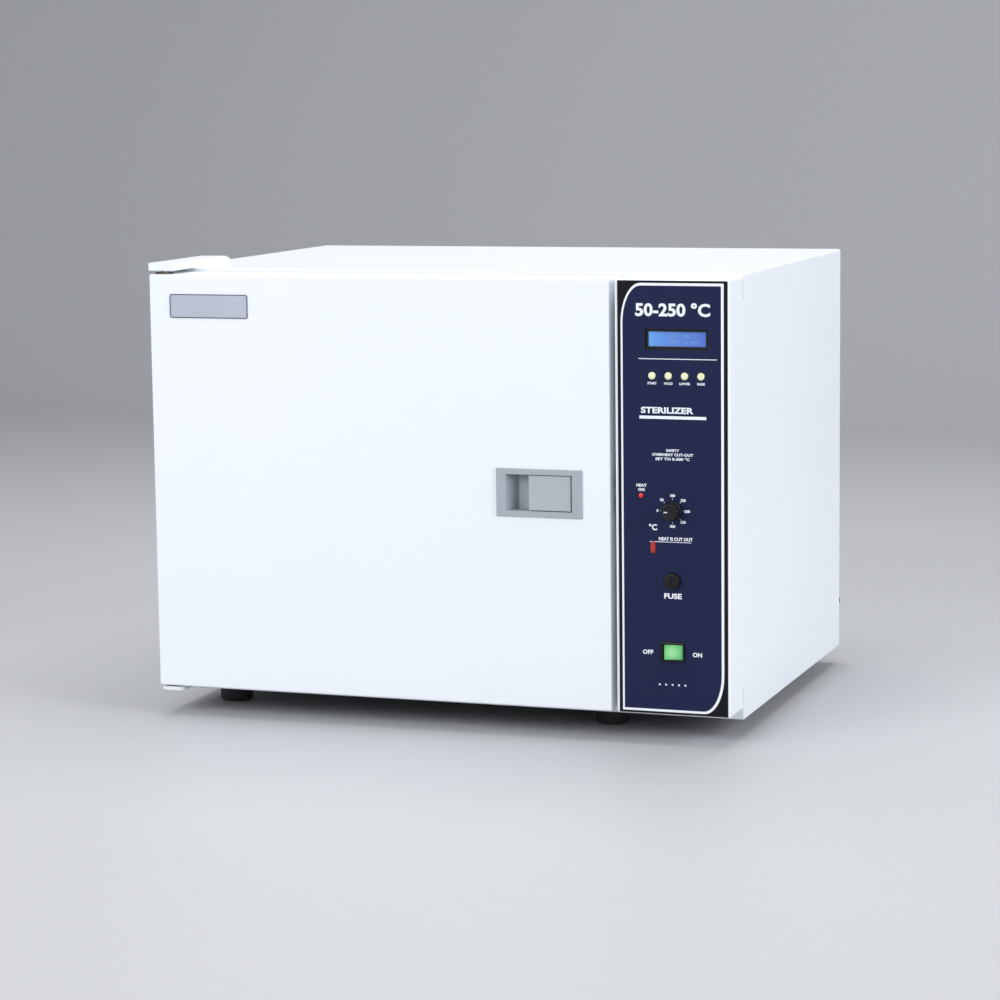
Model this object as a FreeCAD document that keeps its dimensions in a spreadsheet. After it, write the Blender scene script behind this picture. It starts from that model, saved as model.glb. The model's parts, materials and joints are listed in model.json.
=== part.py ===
import FreeCAD, Part
import math
import os
import re
import Sketcher
from FreeCAD import Vector

# Bench-top hot-air sterilizer: a white sheet steel cabinet on four rubber feet, a thick insulated
# door hung on the left, and a control box at the right that is as deep as the door.
# Row frame: +X to the right, +Y to the back, +Z up, millimetres. The origin lies on the bench
# under the middle of the whole object. The door and the controls face -Y.

os.makedirs("parts", exist_ok=True)
doc = FreeCAD.newDocument("sterilizer")

# Driving sizes: name, value in millimetres, what it is.
SIZES = [
    ("cab_width", 666, "cabinet, side to side"),
    ("cab_height", 480, "cabinet, underside to top"),
    ("cab_depth", 454, "cabinet, front frame to back panel"),
    ("front_depth", 54, "control box, front to back"),
    ("steel", 1.5, "sheet thickness of the cabinet"),
    ("bend_radius", 3, "outer bend of the casing"),
    ("lip", 18, "width of the folded lips"),
    ("base_flange", 22, "height of the base pan's side flanges"),
    ("foot_height", 22, "feet, bench to cabinet"),
    ("foot_radius", 18.5, "feet at the cabinet"),
    ("foot_taper", 2.5, "feet, how much narrower at the bench"),
    ("foot_left", 47, "left feet, from the left side"),
    ("foot_right", 31, "right feet, from the door's right edge"),
    ("foot_inset", 51, "feet, from the front and the back"),
    ("screw_radius", 2, "sheet metal screws, shank"),
    ("screw_head", 4, "sheet metal screws, head radius"),
    ("screw_cap", 1.6, "sheet metal screws, head height"),
    ("screw_length", 6, "sheet metal screws, shank length"),
    ("well_rim", 2.5, "screw well in a foot, past the screw's head"),
    ("back_screw_inset", 10, "back panel screws, from the panel's sides"),
    ("back_screw_rise", 78, "back panel screws, from its top and bottom"),
    ("bumper_radius", 6, "rear bumpers"),
    ("bumper_length", 16, "rear bumpers, past the back panel"),
    ("bumper_inset", 8, "rear bumpers, from the sides"),
    ("bumper_rise", 52, "rear bumpers, above the underside"),
    ("bumper_bevel", 1.5, "rear bumpers, bevel of the end"),
    ("box_width", 125.5, "control box, side to side"),
    ("door_rise", 12, "door above the cabinet's underside"),
    ("door_drop", 4, "door below the cabinet's top"),
    ("door_gap", 3, "door to cabinet front"),
    ("door_wall", 1.2, "sheet thickness of the door"),
    ("door_edge", 2, "outer bend of the door and control box"),
    ("front_gap", 6.5, "door to control box"),
    ("side_room", 67, "door's side edges to the chamber"),
    ("rise_room", 62, "door's top and bottom edges to the chamber"),
    ("rear_room", 84, "chamber's back wall to the cabinet's back"),
    ("chamber_wall", 1, "stainless sheet of the chamber"),
    ("flange_width", 18, "chamber mouth flange"),
    ("insulation_wall", 48, "mineral wool round the chamber"),
    ("divider_gap", 8, "insulation to divider wall"),
    ("fit_gap", 0.3, "clearance round a piece in its hole"),
    ("floor_rise", 32, "perforated floor plate above the chamber bottom"),
    ("floor_slot_length", 44, "air slot in the floor plate"),
    ("floor_slot_width", 7, "air slot in the floor plate"),
    ("floor_slot_rows", 7, "rows of air slots, front to back"),
    ("element_radius", 4, "tubular heating element"),
    ("element_rise", 15, "element axis above the chamber bottom"),
    ("element_width", 270, "element, leg to leg"),
    ("element_bend", 45, "element bends, tube centre"),
    ("element_front", 62, "element's front bend, from the cabinet front"),
    ("element_tail", 14, "element ends past the insulation"),
    ("runner_reach", 13, "shelf runner ledges"),
    ("runner_first", 82, "first ledge above the chamber bottom"),
    ("runner_drop", 27, "top of the runners below the chamber top"),
    ("runner_inset", 24, "runners, from the chamber's front and back"),
    ("shelf_wire", 2.6, "shelf front and back wires, radius"),
    ("shelf_side", 2.2, "shelf side wires, radius"),
    ("shelf_bar", 1.5, "shelf cross bars, radius"),
    ("shelf_gap", 4, "shelf rim to chamber side"),
    ("shelf_spacing", 30, "shelf bar to bar"),
    ("exhaust_radius", 14, "exhaust tube, outside the cabinet"),
    ("exhaust_step", 1, "exhaust tube, how much thicker inside the cabinet"),
    ("exhaust_rim", 3.5, "hose stop on the exhaust tube, past the tube"),
    ("exhaust_stop", 2, "hose stop on the exhaust tube, thickness"),
    ("exhaust_wall", 1.5, "exhaust tube wall"),
    ("exhaust_reach", 22, "exhaust tube past the back panel"),
    ("exhaust_drop", 46, "exhaust axis below the chamber top"),
    ("probe_radius", 2.5, "temperature probe"),
    ("probe_reach", 70, "probe into the chamber"),
    ("probe_shift", 60, "probe to the right of the exhaust"),
    ("bulb_radius", 3.2, "limit thermostat bulb"),
    ("bulb_shift", 90, "bulb to the right of the exhaust"),
    ("overlay_wall", 0.6, "printed panel overlay"),
    ("overlay_side", 2.4, "overlay to the control box's right edge"),
    ("overlay_edge", 1, "overlay to the box's top and bottom"),
    ("overlay_left", 3.3, "overlay to the control box's left edge"),
    ("display_width", 69, "display opening"),
    ("display_height", 22, "display opening"),
    ("display_drop", 66.5, "display centre below the cabinet's top"),
    ("display_shift", 5, "display and keys, right of the panel's middle"),
    ("window_width", 63, "display window"),
    ("window_height", 15.7, "display window"),
    ("window_depth", 4, "display glass behind the panel front"),
    ("window_wall", 2, "display glass"),
    ("display_rim", 3, "display frame past the opening"),
    ("board_depth", 16, "circuit board behind the panel front"),
    ("board_wall", 1.6, "circuit board"),
    ("board_rim", 9, "circuit board past display and keys"),
    ("post_radius", 3, "board posts"),
    ("key_drop", 105, "keys below the cabinet's top"),
    ("key_pitch", 17.8, "key to key"),
    ("key_radius", 4.1, "key caps"),
    ("key_reach", 1.8, "key caps past the overlay"),
    ("key_flange", 1.2, "collar that keeps a key in its hole"),
    ("key_stem", 1.6, "key stems, radius"),
    ("key_switch", 8, "push switches on the board, square"),
    ("key_travel", 1.2, "key stroke"),
    ("lamp_radius", 2.5, "round lamp"),
    ("lamp_rise", 247.5, "round lamp above the underside"),
    ("lamp_shift", 34.5, "round lamp, left of the panel's middle"),
    ("lamp_reach", 1.4, "lamps past the overlay"),
    ("limit_lamp_width", 5.5, "oval lamp"),
    ("limit_lamp_height", 13, "oval lamp"),
    ("limit_lamp_rise", 192.5, "oval lamp above the underside"),
    ("limit_lamp_shift", 21.5, "oval lamp, left of the panel's middle"),
    ("knob_radius", 10.5, "thermostat knob"),
    ("knob_height", 13, "thermostat knob"),
    ("knob_gap", 0.6, "knob to overlay"),
    ("knob_rise", 232, "knob above the underside"),
    ("knob_flutes", 12, "grip flutes round the knob"),
    ("shaft_radius", 3, "thermostat shaft"),
    ("running_gap", 0.05, "radial clearance of a turning fit"),
    ("thermostat_radius", 17, "thermostat body"),
    ("thermostat_length", 20, "thermostat body"),
    ("fuse_radius", 8.5, "fuse cap"),
    ("fuse_reach", 6, "fuse cap past the overlay"),
    ("fuse_rise", 157, "fuse cap above the underside"),
    ("fuse_stem", 4, "fuse carrier"),
    ("fuse_barrel", 6.5, "fuse holder behind the panel"),
    ("fuse_length", 30, "fuse holder behind the panel front"),
    ("switch_width", 27, "switch frame"),
    ("switch_height", 21, "switch frame"),
    ("switch_rise", 80.5, "switch above the underside"),
    ("switch_rim", 2.3, "switch frame round the rocker"),
    ("switch_reach", 2, "switch frame past the overlay"),
    ("switch_body", 1.6, "switch body inside its frame's edge"),
    ("switch_depth", 22, "switch body behind the panel front"),
    ("rocker_pivot", 4.5, "rocker pivot behind the panel front"),
    ("rocker_dish", 10, "slope of each rocker half, degrees"),
    ("rocker_radius", 10.9, "rocker ends about the pivot"),
    ("hinge_inset", 13, "hinge axis from the door's left and front"),
    ("arm_width", 30, "upper hinge arm"),
    ("arm_wall", 8.5, "upper hinge arm"),
    ("arm_length", 160, "upper hinge arm"),
    ("arm_slope", 20, "upper hinge arm, length of its sloped end"),
    ("arm_end", 2.5, "upper hinge arm, height of its end"),
    ("arm_thread", 6, "screw holes in the hinge arm, depth"),
    ("bracket_wall", 4, "lower hinge bracket"),
    ("bracket_width", 28, "lower hinge bracket"),
    ("bracket_inset", 3, "lower hinge bracket, behind the door's front"),
    ("pin_radius", 4, "hinge pins"),
    ("pin_reach", 18, "hinge pins into the door"),
    ("bush_radius", 7, "hinge bushes"),
    ("bush_flange", 1.5, "hinge bush collar"),
    ("bush_rim", 3, "hinge bush collar, width"),
    ("pan_wall", 1, "door inner pan"),
    ("plug_depth", 6, "raised middle of the inner pan"),
    ("plug_gap", 13, "raised middle to chamber wall"),
    ("plug_corner", 16, "raised middle, corner radius"),
    ("seal_width", 10, "door seal"),
    ("seal_groove", 6, "door seal groove"),
    ("seal_gap", 0.3, "door seal to chamber flange"),
    ("handle_width", 97, "latch frame"),
    ("handle_height", 52, "latch frame"),
    ("handle_inset", 30.5, "latch frame to door edge"),
    ("handle_rise", 246, "latch centre above the underside"),
    ("handle_rim", 2.2, "latch frame past the door"),
    ("handle_side", 11, "latch frame, width of its sides"),
    ("handle_bar", 6.2, "latch frame, width of its top and bottom"),
    ("cup_depth", 16, "latch recess behind the door front"),
    ("cup_wall", 2.2, "latch cup wall"),
    ("scoop", 9, "slope of the finger recess"),
    ("finger_gap", 25.5, "finger recess"),
    ("paddle_gap", 1, "paddle to frame"),
    ("paddle_sink", 1.7, "paddle behind the frame's front"),
    ("paddle_wall", 3, "paddle plate"),
    ("paddle_pivot", 4.5, "paddle pin to recess end"),
    ("paddle_pivot_depth", 4, "paddle pin behind the door front"),
    ("paddle_end", 2.5, "paddle past its pin"),
    ("barrel_radius", 4, "paddle barrel"),
    ("paddle_pin", 1.5, "paddle pin, radius"),
    ("crank_reach", 22, "paddle crank, pin to finger"),
    ("crank_finger", 2.5, "crank finger, radius"),
    ("crank_wall", 5, "crank, thickness"),
    ("bolt_depth", 10, "latch bolt, front to back"),
    ("bolt_height", 12, "latch bolt"),
    ("bolt_tail", 13, "latch bolt, behind the crank"),
    ("bolt_reach", 4.2, "latch bolt past the door edge"),
    ("bolt_bevel", 3.5, "latch bolt nose bevel"),
    ("guide_wall", 2, "bolt guide"),
    ("guide_length", 24, "bolt guide"),
    ("strike_wall", 1, "strike plate"),
    ("strike_ridge", 0.6, "rounded ridge on the strike"),
    ("strike_depth", 30, "strike plate, front to back"),
    ("strike_height", 40, "strike plate"),
    ("badge_width", 94, "plain metal plate on the door"),
    ("badge_height", 26.5, "plain metal plate on the door"),
    ("badge_wall", 0.8, "plain metal plate on the door"),
    ("badge_left", 25, "plate, from the door's left edge"),
    ("badge_drop", 21.5, "plate, from the door's top edge"),
    ("badge_corner", 2.5, "plate corner radius"),
    ("louvre_width", 70, "back panel louvres"),
    ("louvre_height", 4, "back panel louvres"),
    ("louvre_pitch", 14, "back panel louvres"),
    ("louvre_reach", 5, "hoods of the back panel louvres, past the panel"),
    ("louvre_rows", 9, "louvres in the back panel"),
    ("inlet_width", 27, "power inlet opening"),
    ("inlet_height", 20, "power inlet opening"),
    ("inlet_rim", 4, "power inlet frame"),
    ("inlet_rise", 60, "power inlet above the underside"),
    ("inlet_inset", 70, "power inlet from the right side"),
    ("inlet_depth", 24, "power inlet body"),
    ("inlet_wall", 1.5, "power inlet wall"),
    ("inlet_socket", 17, "power inlet socket, depth"),
    ("blade_length", 13, "inlet contact blades"),
    ("blade_width", 1.6, "inlet contact blades"),
    ("blade_height", 5, "inlet contact blades"),
    ("blade_pitch", 6.5, "inlet contact blades, side to side"),
    ("module_width", 90, "power module"),
    ("module_height", 120, "power module"),
    ("module_depth", 40, "power module"),
]

sheet = doc.addObject("Spreadsheet::Sheet", "Sizes")
for row, (name, amount, note) in enumerate(SIZES, start=1):
    sheet.set(f"A{row}", note)
    sheet.set(f"B{row}", str(amount))
    sheet.setAlias(f"B{row}", name)
doc.recompute()
SIZE_NAMES = {name for name, amount, note in SIZES}

# A scratch number that lets this script read what an expression comes to.
gauge = doc.addObject("App::FeaturePython", "Gauge")
gauge.addProperty("App::PropertyFloat", "Reading")

PIECES = []


def linked(text):
    """An expression in which every size name points at the sheet."""
    return re.sub(r"[a-z_]+", lambda found: "Sizes." + found.group(0)
                  if found.group(0) in SIZE_NAMES else found.group(0), text)


def number(text):
    """What an expression comes to now."""
    gauge.setExpression("Reading", linked(text))
    gauge.recompute()
    return gauge.Reading


# Places that several pieces share, as expressions in the row frame.
FRONT_REACH = "(overlay_wall + knob_gap + knob_height)"
TOTAL_DEPTH = f"({FRONT_REACH} + front_depth + cab_depth + exhaust_reach)"
LEFT = "(-cab_width / 2)"
RIGHT = "(cab_width / 2)"
FRONT = f"({FRONT_REACH} - {TOTAL_DEPTH} / 2)"
CAB = f"({FRONT} + front_depth)"
BACK = f"({CAB} + cab_depth)"
BASE = "foot_height"
TOP = "(foot_height + cab_height)"
BOX_LEFT = f"({RIGHT} - box_width)"
DOOR_RIGHT = f"({BOX_LEFT} - front_gap)"
DOOR_BOTTOM = f"({BASE} + door_rise)"
DOOR_TOP = f"({TOP} - door_drop)"
DOOR_BACK = f"({CAB} - door_gap)"
DOOR_MID = f"(({LEFT} + {DOOR_RIGHT}) / 2)"
BAY_LEFT = f"({LEFT} + side_room)"
BAY_RIGHT = f"({DOOR_RIGHT} - side_room)"
BAY_BOTTOM = f"({DOOR_BOTTOM} + rise_room)"
BAY_TOP = f"({DOOR_TOP} - rise_room)"
BAY_DEPTH = "(cab_depth - rear_room)"
BAY_BACK = f"({CAB} + {BAY_DEPTH})"
LINER_BACK = f"({BAY_BACK} + chamber_wall)"
WOOL_BACK = f"({LINER_BACK} + insulation_wall)"
WOOL_RIGHT = f"({BAY_RIGHT} + chamber_wall + insulation_wall)"
PANEL_MID = f"(({BOX_LEFT} + {RIGHT}) / 2)"
PANEL_BACK = f"({FRONT} + steel)"
OVERLAY_FACE = f"({FRONT} - overlay_wall)"
EXHAUST_LEVEL = f"({BAY_TOP} - exhaust_drop)"
ELEMENT_LEVEL = f"({BAY_BOTTOM} + element_rise)"
RUNNER_PITCH = f"(({BAY_TOP} - {BAY_BOTTOM} - runner_drop - runner_first) / 3.5)"
DISPLAY_MID = f"({PANEL_MID} + display_shift)"
DISPLAY_LEVEL = f"({TOP} - display_drop)"
KEY_LEVEL = f"({TOP} - key_drop)"
KNOB_LEVEL = f"({BASE} + knob_rise)"
FUSE_LEVEL = f"({BASE} + fuse_rise)"
SWITCH_LEVEL = f"({BASE} + switch_rise)"
HINGE_X = f"({LEFT} + hinge_inset)"
HINGE_Y = f"({FRONT} + hinge_inset)"
HANDLE_RIGHT = f"({DOOR_RIGHT} - handle_inset)"
HANDLE_LEFT = f"({HANDLE_RIGHT} - handle_width)"
HANDLE_LEVEL = f"({BASE} + handle_rise)"
RECESS_LEFT = f"({HANDLE_LEFT} + handle_side)"
RECESS_RIGHT = f"({HANDLE_RIGHT} - handle_side)"
RECESS_HALF = "(handle_height / 2 - handle_bar)"
HANDLE_FACE = f"({FRONT} - handle_rim)"
CUP_BACK = f"({FRONT} + cup_depth + cup_wall)"
PIVOT_X = f"({RECESS_RIGHT} - paddle_pivot)"
PIVOT_Y = f"({FRONT} + paddle_pivot_depth)"
BOLT_MID = f"({PIVOT_Y} + crank_reach)"


class Outline:
    """A sketch on one of a body's own planes, moved along that plane's normal."""

    def __init__(self, body, plane, place, count):
        self.plane = plane
        self.sketch = body.newObject("Sketcher::SketchObject", f"{body.Label}_outline_{count}")
        support = [item for item in body.Origin.OriginFeatures if item.Role == plane + "_Plane"][0]
        self.sketch.AttachmentSupport = [(support, "")]
        self.sketch.MapMode = "FlatFace"
        sign = "-" if plane == "XZ" else ""
        self.sketch.setExpression("AttachmentOffset.Base.z", linked(f"{sign}({place})"))

    def fix(self, kind, geometry, point, text):
        """Hold one coordinate of a point by an expression."""
        index = self.sketch.addConstraint(Sketcher.Constraint(kind, -1, 1, geometry, point, 0.5))
        self.sketch.setExpression(f"Constraints[{index}]", linked(text))

    def rect(self, low_u, low_v, high_u, high_v):
        """A rectangle between two opposite corners."""
        first = self.sketch.GeometryCount
        spots = [Vector(0, 0, 0), Vector(1, 0, 0), Vector(1, 1, 0), Vector(0, 1, 0)]
        sides = [Part.LineSegment(spots[i], spots[(i + 1) % 4]) for i in range(4)]
        self.sketch.addGeometry(sides, False)
        joins = [Sketcher.Constraint("Coincident", first + i, 2, first + (i + 1) % 4, 1) for i in range(4)]
        level = [Sketcher.Constraint("Horizontal", first + i) for i in (0, 2)]
        upright = [Sketcher.Constraint("Vertical", first + i) for i in (1, 3)]
        self.sketch.addConstraint(joins + level + upright)
        self.fix("DistanceX", first, 1, low_u)
        self.fix("DistanceY", first, 1, low_v)
        self.fix("DistanceX", first + 2, 1, high_u)
        self.fix("DistanceY", first + 2, 1, high_v)
        return self

    def circle(self, mid_u, mid_v, radius):
        """A circle about a point."""
        item = self.sketch.addGeometry(Part.Circle(Vector(0, 0, 0), Vector(0, 0, 1), 1), False)
        index = self.sketch.addConstraint(Sketcher.Constraint("Radius", item, 1.0))
        self.sketch.setExpression(f"Constraints[{index}]", linked(radius))
        self.fix("DistanceX", item, 3, mid_u)
        self.fix("DistanceY", item, 3, mid_v)
        return self

    def hexagon(self, mid_u, mid_v, radius):
        """A regular hexagon about a point; its corners stand at the radius."""
        wide = "0.866"
        steps = [("0", "1"), (f"-{wide}", "0.5"), (f"-{wide}", "-0.5"), ("0", "-1"), (wide, "-0.5"), (wide, "0.5")]
        return self.polygon([(f"{mid_u} + {u} * ({radius})", f"{mid_v} + {v} * ({radius})") for u, v in steps])

    def polygon(self, corners):
        """A closed outline of straight sides through corners given as pairs of expressions."""
        first = self.sketch.GeometryCount
        total = len(corners)
        spots = [Vector(number(u), number(v), 0) for u, v in corners]
        sides = [Part.LineSegment(spots[i], spots[(i + 1) % total]) for i in range(total)]
        self.sketch.addGeometry(sides, False)
        joins = [Sketcher.Constraint("Coincident", first + i, 2, first + (i + 1) % total, 1)
                 for i in range(total)]
        self.sketch.addConstraint(joins)
        for i, (u, v) in enumerate(corners):
            self.fix("DistanceX", first + i, 1, u)
            self.fix("DistanceY", first + i, 1, v)
        return self


class Piece:
    """One sub-part: a body, with the features that make it in their order."""

    def __init__(self, label, alone=True):
        self.body = doc.addObject("PartDesign::Body", label)
        self.body.Label = label
        self.count = 0
        if alone:
            PIECES.append(self.body)

    def on(self, plane, place):
        """A new outline on a plane of this body."""
        self.count += 1
        return Outline(self.body, plane, place, self.count)

    def origin(self, role):
        """One of the body's own axes or planes."""
        return [item for item in self.body.Origin.OriginFeatures if item.Role == role][0]

    def volume(self):
        """The volume of the body so far."""
        doc.recompute()
        return self.body.Shape.Volume

    def pad(self, outline, length, way=1):
        """Material from an outline along the row axis normal to it; way is 1 for plus."""
        self.count += 1
        pad = self.body.newObject("PartDesign::Pad", f"{self.body.Label}_pad_{self.count}")
        pad.Profile = outline.sketch
        pad.Reversed = (way > 0) == (outline.plane == "XZ")
        pad.setExpression("Length", linked(length))
        doc.recompute()
        return pad

    def pocket(self, outline, length, way=1):
        """A cut from an outline along the row axis normal to it; way is 1 for plus."""
        before = self.volume()
        self.count += 1
        cut = self.body.newObject("PartDesign::Pocket", f"{self.body.Label}_cut_{self.count}")
        cut.Profile = outline.sketch
        cut.Reversed = (way > 0) != (outline.plane == "XZ")
        cut.setExpression("Length", linked(length))
        if self.volume() >= before:
            raise ValueError(f"{self.body.Label}: a cut takes nothing away")
        return cut

    def edges(self, rule):
        """Names of the edges of the body so far that a rule picks."""
        doc.recompute()
        shape = self.body.Shape
        box = shape.BoundBox
        return [f"Edge{i}" for i, edge in enumerate(shape.Edges, start=1) if rule(edge, box)]

    def fillet(self, radius, rule):
        """Round the edges that a rule picks."""
        names = self.edges(rule)
        tip = self.body.Tip
        round_off = self.body.newObject("PartDesign::Fillet", f"{self.body.Label}_round_{len(names)}")
        round_off.Base = (tip, names)
        round_off.setExpression("Radius", linked(radius))
        doc.recompute()
        return round_off

    def chamfer(self, size, rule):
        """Bevel the edges that a rule picks."""
        names = self.edges(rule)
        tip = self.body.Tip
        bevel = self.body.newObject("PartDesign::Chamfer", f"{self.body.Label}_bevel_{len(names)}")
        bevel.Base = (tip, names)
        bevel.setExpression("Size", linked(size))
        doc.recompute()
        return bevel

    def repeat(self, feature, role, step, times, backwards=False):
        """Copies of a feature along one of the body's axes."""
        self.count += 1
        row = self.body.newObject("PartDesign::LinearPattern", f"{self.body.Label}_row_{self.count}")
        row.Originals = [feature]
        row.Direction = (self.origin(role), [""])
        row.Reversed = backwards
        row.Mode = "Spacing"
        row.setExpression("Offset", linked(step))
        row.Occurrences = times
        self.body.Tip = row
        doc.recompute()
        return row


def along(edge, axis):
    """True for a straight edge that runs along X, Y or Z, given as 0, 1 or 2."""
    if edge.Curve.TypeId != "Part::GeomLine":
        return False
    run = edge.Vertexes[-1].Point - edge.Vertexes[0].Point
    return abs(run[axis]) > 0.999 * run.Length


def near(one, other):
    """True for two places that are the same."""
    return abs(one - other) < 0.01


def group(label, members):
    """Like pieces that share one node as separate solids."""
    whole = doc.addObject("Part::Compound", label)
    whole.Label = label
    whole.Links = members
    PIECES.append(whole)
    return whole


def rod(label, radius, length, place, axis):
    """A plain cylinder whose foot is at a place, pointing along an axis."""
    bar = doc.addObject("Part::Cylinder", label)
    bar.setExpression("Radius", linked(radius))
    bar.setExpression("Height", linked(length))
    bar.Placement.Rotation = FreeCAD.Rotation(Vector(0, 0, 1), axis)
    for letter, text in zip("xyz", place):
        bar.setExpression(f"Placement.Base.{letter}", linked(text))
    return bar


def hex_rod(label, radius, length, place, axis):
    """A six-sided bar whose foot is at a place, pointing along an axis."""
    bar = doc.addObject("Part::Prism", label)
    bar.Polygon = 6
    bar.setExpression("Circumradius", linked(radius))
    bar.setExpression("Height", linked(length))
    bar.Placement.Rotation = FreeCAD.Rotation(Vector(0, 0, 1), axis)
    for letter, text in zip("xyz", place):
        bar.setExpression(f"Placement.Base.{letter}", linked(text))
    return bar


def screw(label, place, axis, length="screw_length"):
    """A hexagon screw: the head stands on its seat at a place and the shank runs along an axis."""
    shank = rod(label + "_shank", "screw_radius", length, place, axis)
    head = hex_rod(label + "_head", "screw_head", "screw_cap", place, -axis)
    whole = doc.addObject("Part::Fuse", label)
    whole.Base = shank
    whole.Tool = head
    return whole


PLUS_X = Vector(1, 0, 0)
PLUS_Y = Vector(0, 1, 0)
PLUS_Z = Vector(0, 0, 1)

# Cabinet

def make_outer_casing():
    """Top and both sides, folded from one sheet, with lips folded inwards at the back."""
    piece = Piece("outer_casing")
    piece.pad(piece.on("XZ", CAB).rect(LEFT, BASE, RIGHT, TOP), "cab_depth - steel")
    piece.fillet("bend_radius", lambda edge, box: along(edge, 1) and near(edge.CenterOfMass.z, box.ZMax))
    inside = piece.on("XZ", CAB)
    inside.rect(f"{LEFT} + steel", f"{BASE} - steel", f"{RIGHT} - steel", f"{TOP} - steel")
    piece.pocket(inside, "cab_depth - 2 * steel")
    under = number(f"{TOP} - steel")
    piece.fillet("bend_radius - steel", lambda edge, box: along(edge, 1) and near(edge.CenterOfMass.z, under))
    opening = piece.on("XZ", CAB)
    opening.rect(f"{LEFT} + lip", f"{BASE} - steel", f"{RIGHT} - lip", f"{TOP} - lip")
    piece.pocket(opening, "cab_depth")
    threads = piece.on("XZ", CAB)
    for x, z in back_screw_places():
        threads.circle(x, z, "screw_radius")
    piece.pocket(threads, "cab_depth")
    holes = piece.on("XY", f"{TOP} - 2 * steel")
    for x, y in hinge_screw_places():
        holes.circle(x, y, "screw_radius + fit_gap")
    piece.pocket(holes, "3 * steel")


def make_base_pan():
    """Floor of the cabinet, with side flanges and air slots under the electrics."""
    piece = Piece("base_pan")
    low_x = f"{LEFT} + steel"
    high_x = f"{RIGHT} - steel"
    low_y = f"{CAB} + steel"
    high_y = f"{BACK} - 2 * steel"
    piece.pad(piece.on("XY", BASE).rect(low_x, low_y, high_x, high_y), "base_flange")
    hollow = piece.on("XY", f"{BASE} + steel")
    hollow.rect(f"{low_x} + steel", f"{low_y} - steel", f"{high_x} - steel", f"{high_y} + steel")
    piece.pocket(hollow, "base_flange")
    feet = piece.on("XY", BASE)
    for x, y in foot_places():
        feet.circle(x, y, "screw_radius + fit_gap")
    piece.pocket(feet, "base_flange")
    slot = piece.on("XY", BASE)
    middle = f"({WOOL_RIGHT} + {RIGHT}) / 2"
    slot.rect(f"{middle} - louvre_width / 2", f"{CAB} + foot_inset",
              f"{middle} + louvre_width / 2", f"{CAB} + foot_inset + louvre_height")
    cut = piece.pocket(slot, "base_flange")
    piece.repeat(cut, "Y_Axis", "louvre_pitch * 2", 6)


def back_screw_places():
    """Where the screws of the back panel stand, across and up: three at each side."""
    columns = (f"{LEFT} + back_screw_inset", f"{RIGHT} - back_screw_inset")
    rows = (f"{BASE} + back_screw_rise", f"({BASE} + {TOP}) / 2", f"{TOP} - back_screw_rise")
    return [(x, z) for x in columns for z in rows]


def make_back_panel():
    """Flat back wall with hooded louvres and openings for the exhaust, the inlet and the screws."""
    piece = Piece("back_panel")
    piece.pad(piece.on("XZ", f"{BACK} - steel").rect(LEFT, BASE, RIGHT, TOP), "steel")
    piece.fillet("bend_radius", lambda edge, box: along(edge, 1) and near(edge.CenterOfMass.z, box.ZMax))
    holes = piece.on("XZ", f"{BACK} - steel")
    holes.circle(DOOR_MID, EXHAUST_LEVEL, "exhaust_radius + exhaust_step + fit_gap")
    inlet_x = f"{RIGHT} - inlet_inset"
    inlet_z = f"{BASE} + inlet_rise"
    holes.rect(f"{inlet_x} - inlet_width / 2 - fit_gap", f"{inlet_z} - inlet_height / 2 - fit_gap",
               f"{inlet_x} + inlet_width / 2 + fit_gap", f"{inlet_z} + inlet_height / 2 + fit_gap")
    for x, z in back_screw_places():
        holes.circle(x, z, "screw_radius + fit_gap")
    piece.pocket(holes, "steel")
    rows = int(number("louvre_rows"))
    low = f"({inlet_z} + cab_height / 2)"
    high = f"({low} + louvre_height)"
    hood = piece.on("YZ", f"{inlet_x} - louvre_width / 2")
    hood.polygon([
        (BACK, f"{high} + steel"), (f"{BACK} + louvre_reach", f"{low} + steel"),
        (f"{BACK} + louvre_reach", low), (f"{BACK} + louvre_reach - steel", low), (BACK, high),
    ])
    flap = piece.pad(hood, "louvre_width")
    piece.repeat(flap, "Z_Axis", "louvre_pitch", rows)
    slot = piece.on("XZ", f"{BACK} - steel")
    slot.rect(f"{inlet_x} - louvre_width / 2", low, f"{inlet_x} + louvre_width / 2", high)
    cut = piece.pocket(slot, "steel")
    piece.repeat(cut, "Z_Axis", "louvre_pitch", rows)


def make_front_frame():
    """Face of the cabinet behind the door and the control box."""
    piece = Piece("front_frame")
    plate = piece.on("XZ", CAB)
    plate.rect(f"{LEFT} + steel", BASE, f"{RIGHT} - steel", f"{TOP} - steel")
    piece.pad(plate, "steel")
    piece.fillet("bend_radius - steel", lambda edge, box: along(edge, 1) and near(edge.CenterOfMass.z, box.ZMax))
    mouth = piece.on("XZ", CAB)
    gap = "(chamber_wall + fit_gap)"
    mouth.rect(f"{BAY_LEFT} - {gap}", f"{BAY_BOTTOM} - {gap}", f"{BAY_RIGHT} + {gap}", f"{BAY_TOP} + {gap}")
    mouth.rect(f"{BOX_LEFT} + lip * 2", f"{DOOR_BOTTOM} + lip * 2", f"{RIGHT} - lip * 2", f"{DOOR_TOP} - lip * 2")
    piece.pocket(mouth, "steel")


def make_divider_wall():
    """Upright sheet between the hot chamber bay and the electrics, with a foot lip."""
    piece = Piece("divider_wall")
    left = f"{WOOL_RIGHT} + divider_gap"
    low = f"{BASE} + steel"
    sheet_profile = piece.on("XZ", f"{CAB} + steel")
    sheet_profile.polygon([
        (left, low), (f"{left} + lip", low), (f"{left} + lip", f"{low} + steel"),
        (f"{left} + steel", f"{low} + steel"), (f"{left} + steel", f"{TOP} - steel"), (left, f"{TOP} - steel"),
    ])
    piece.pad(sheet_profile, "cab_depth - 3 * steel")


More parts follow.
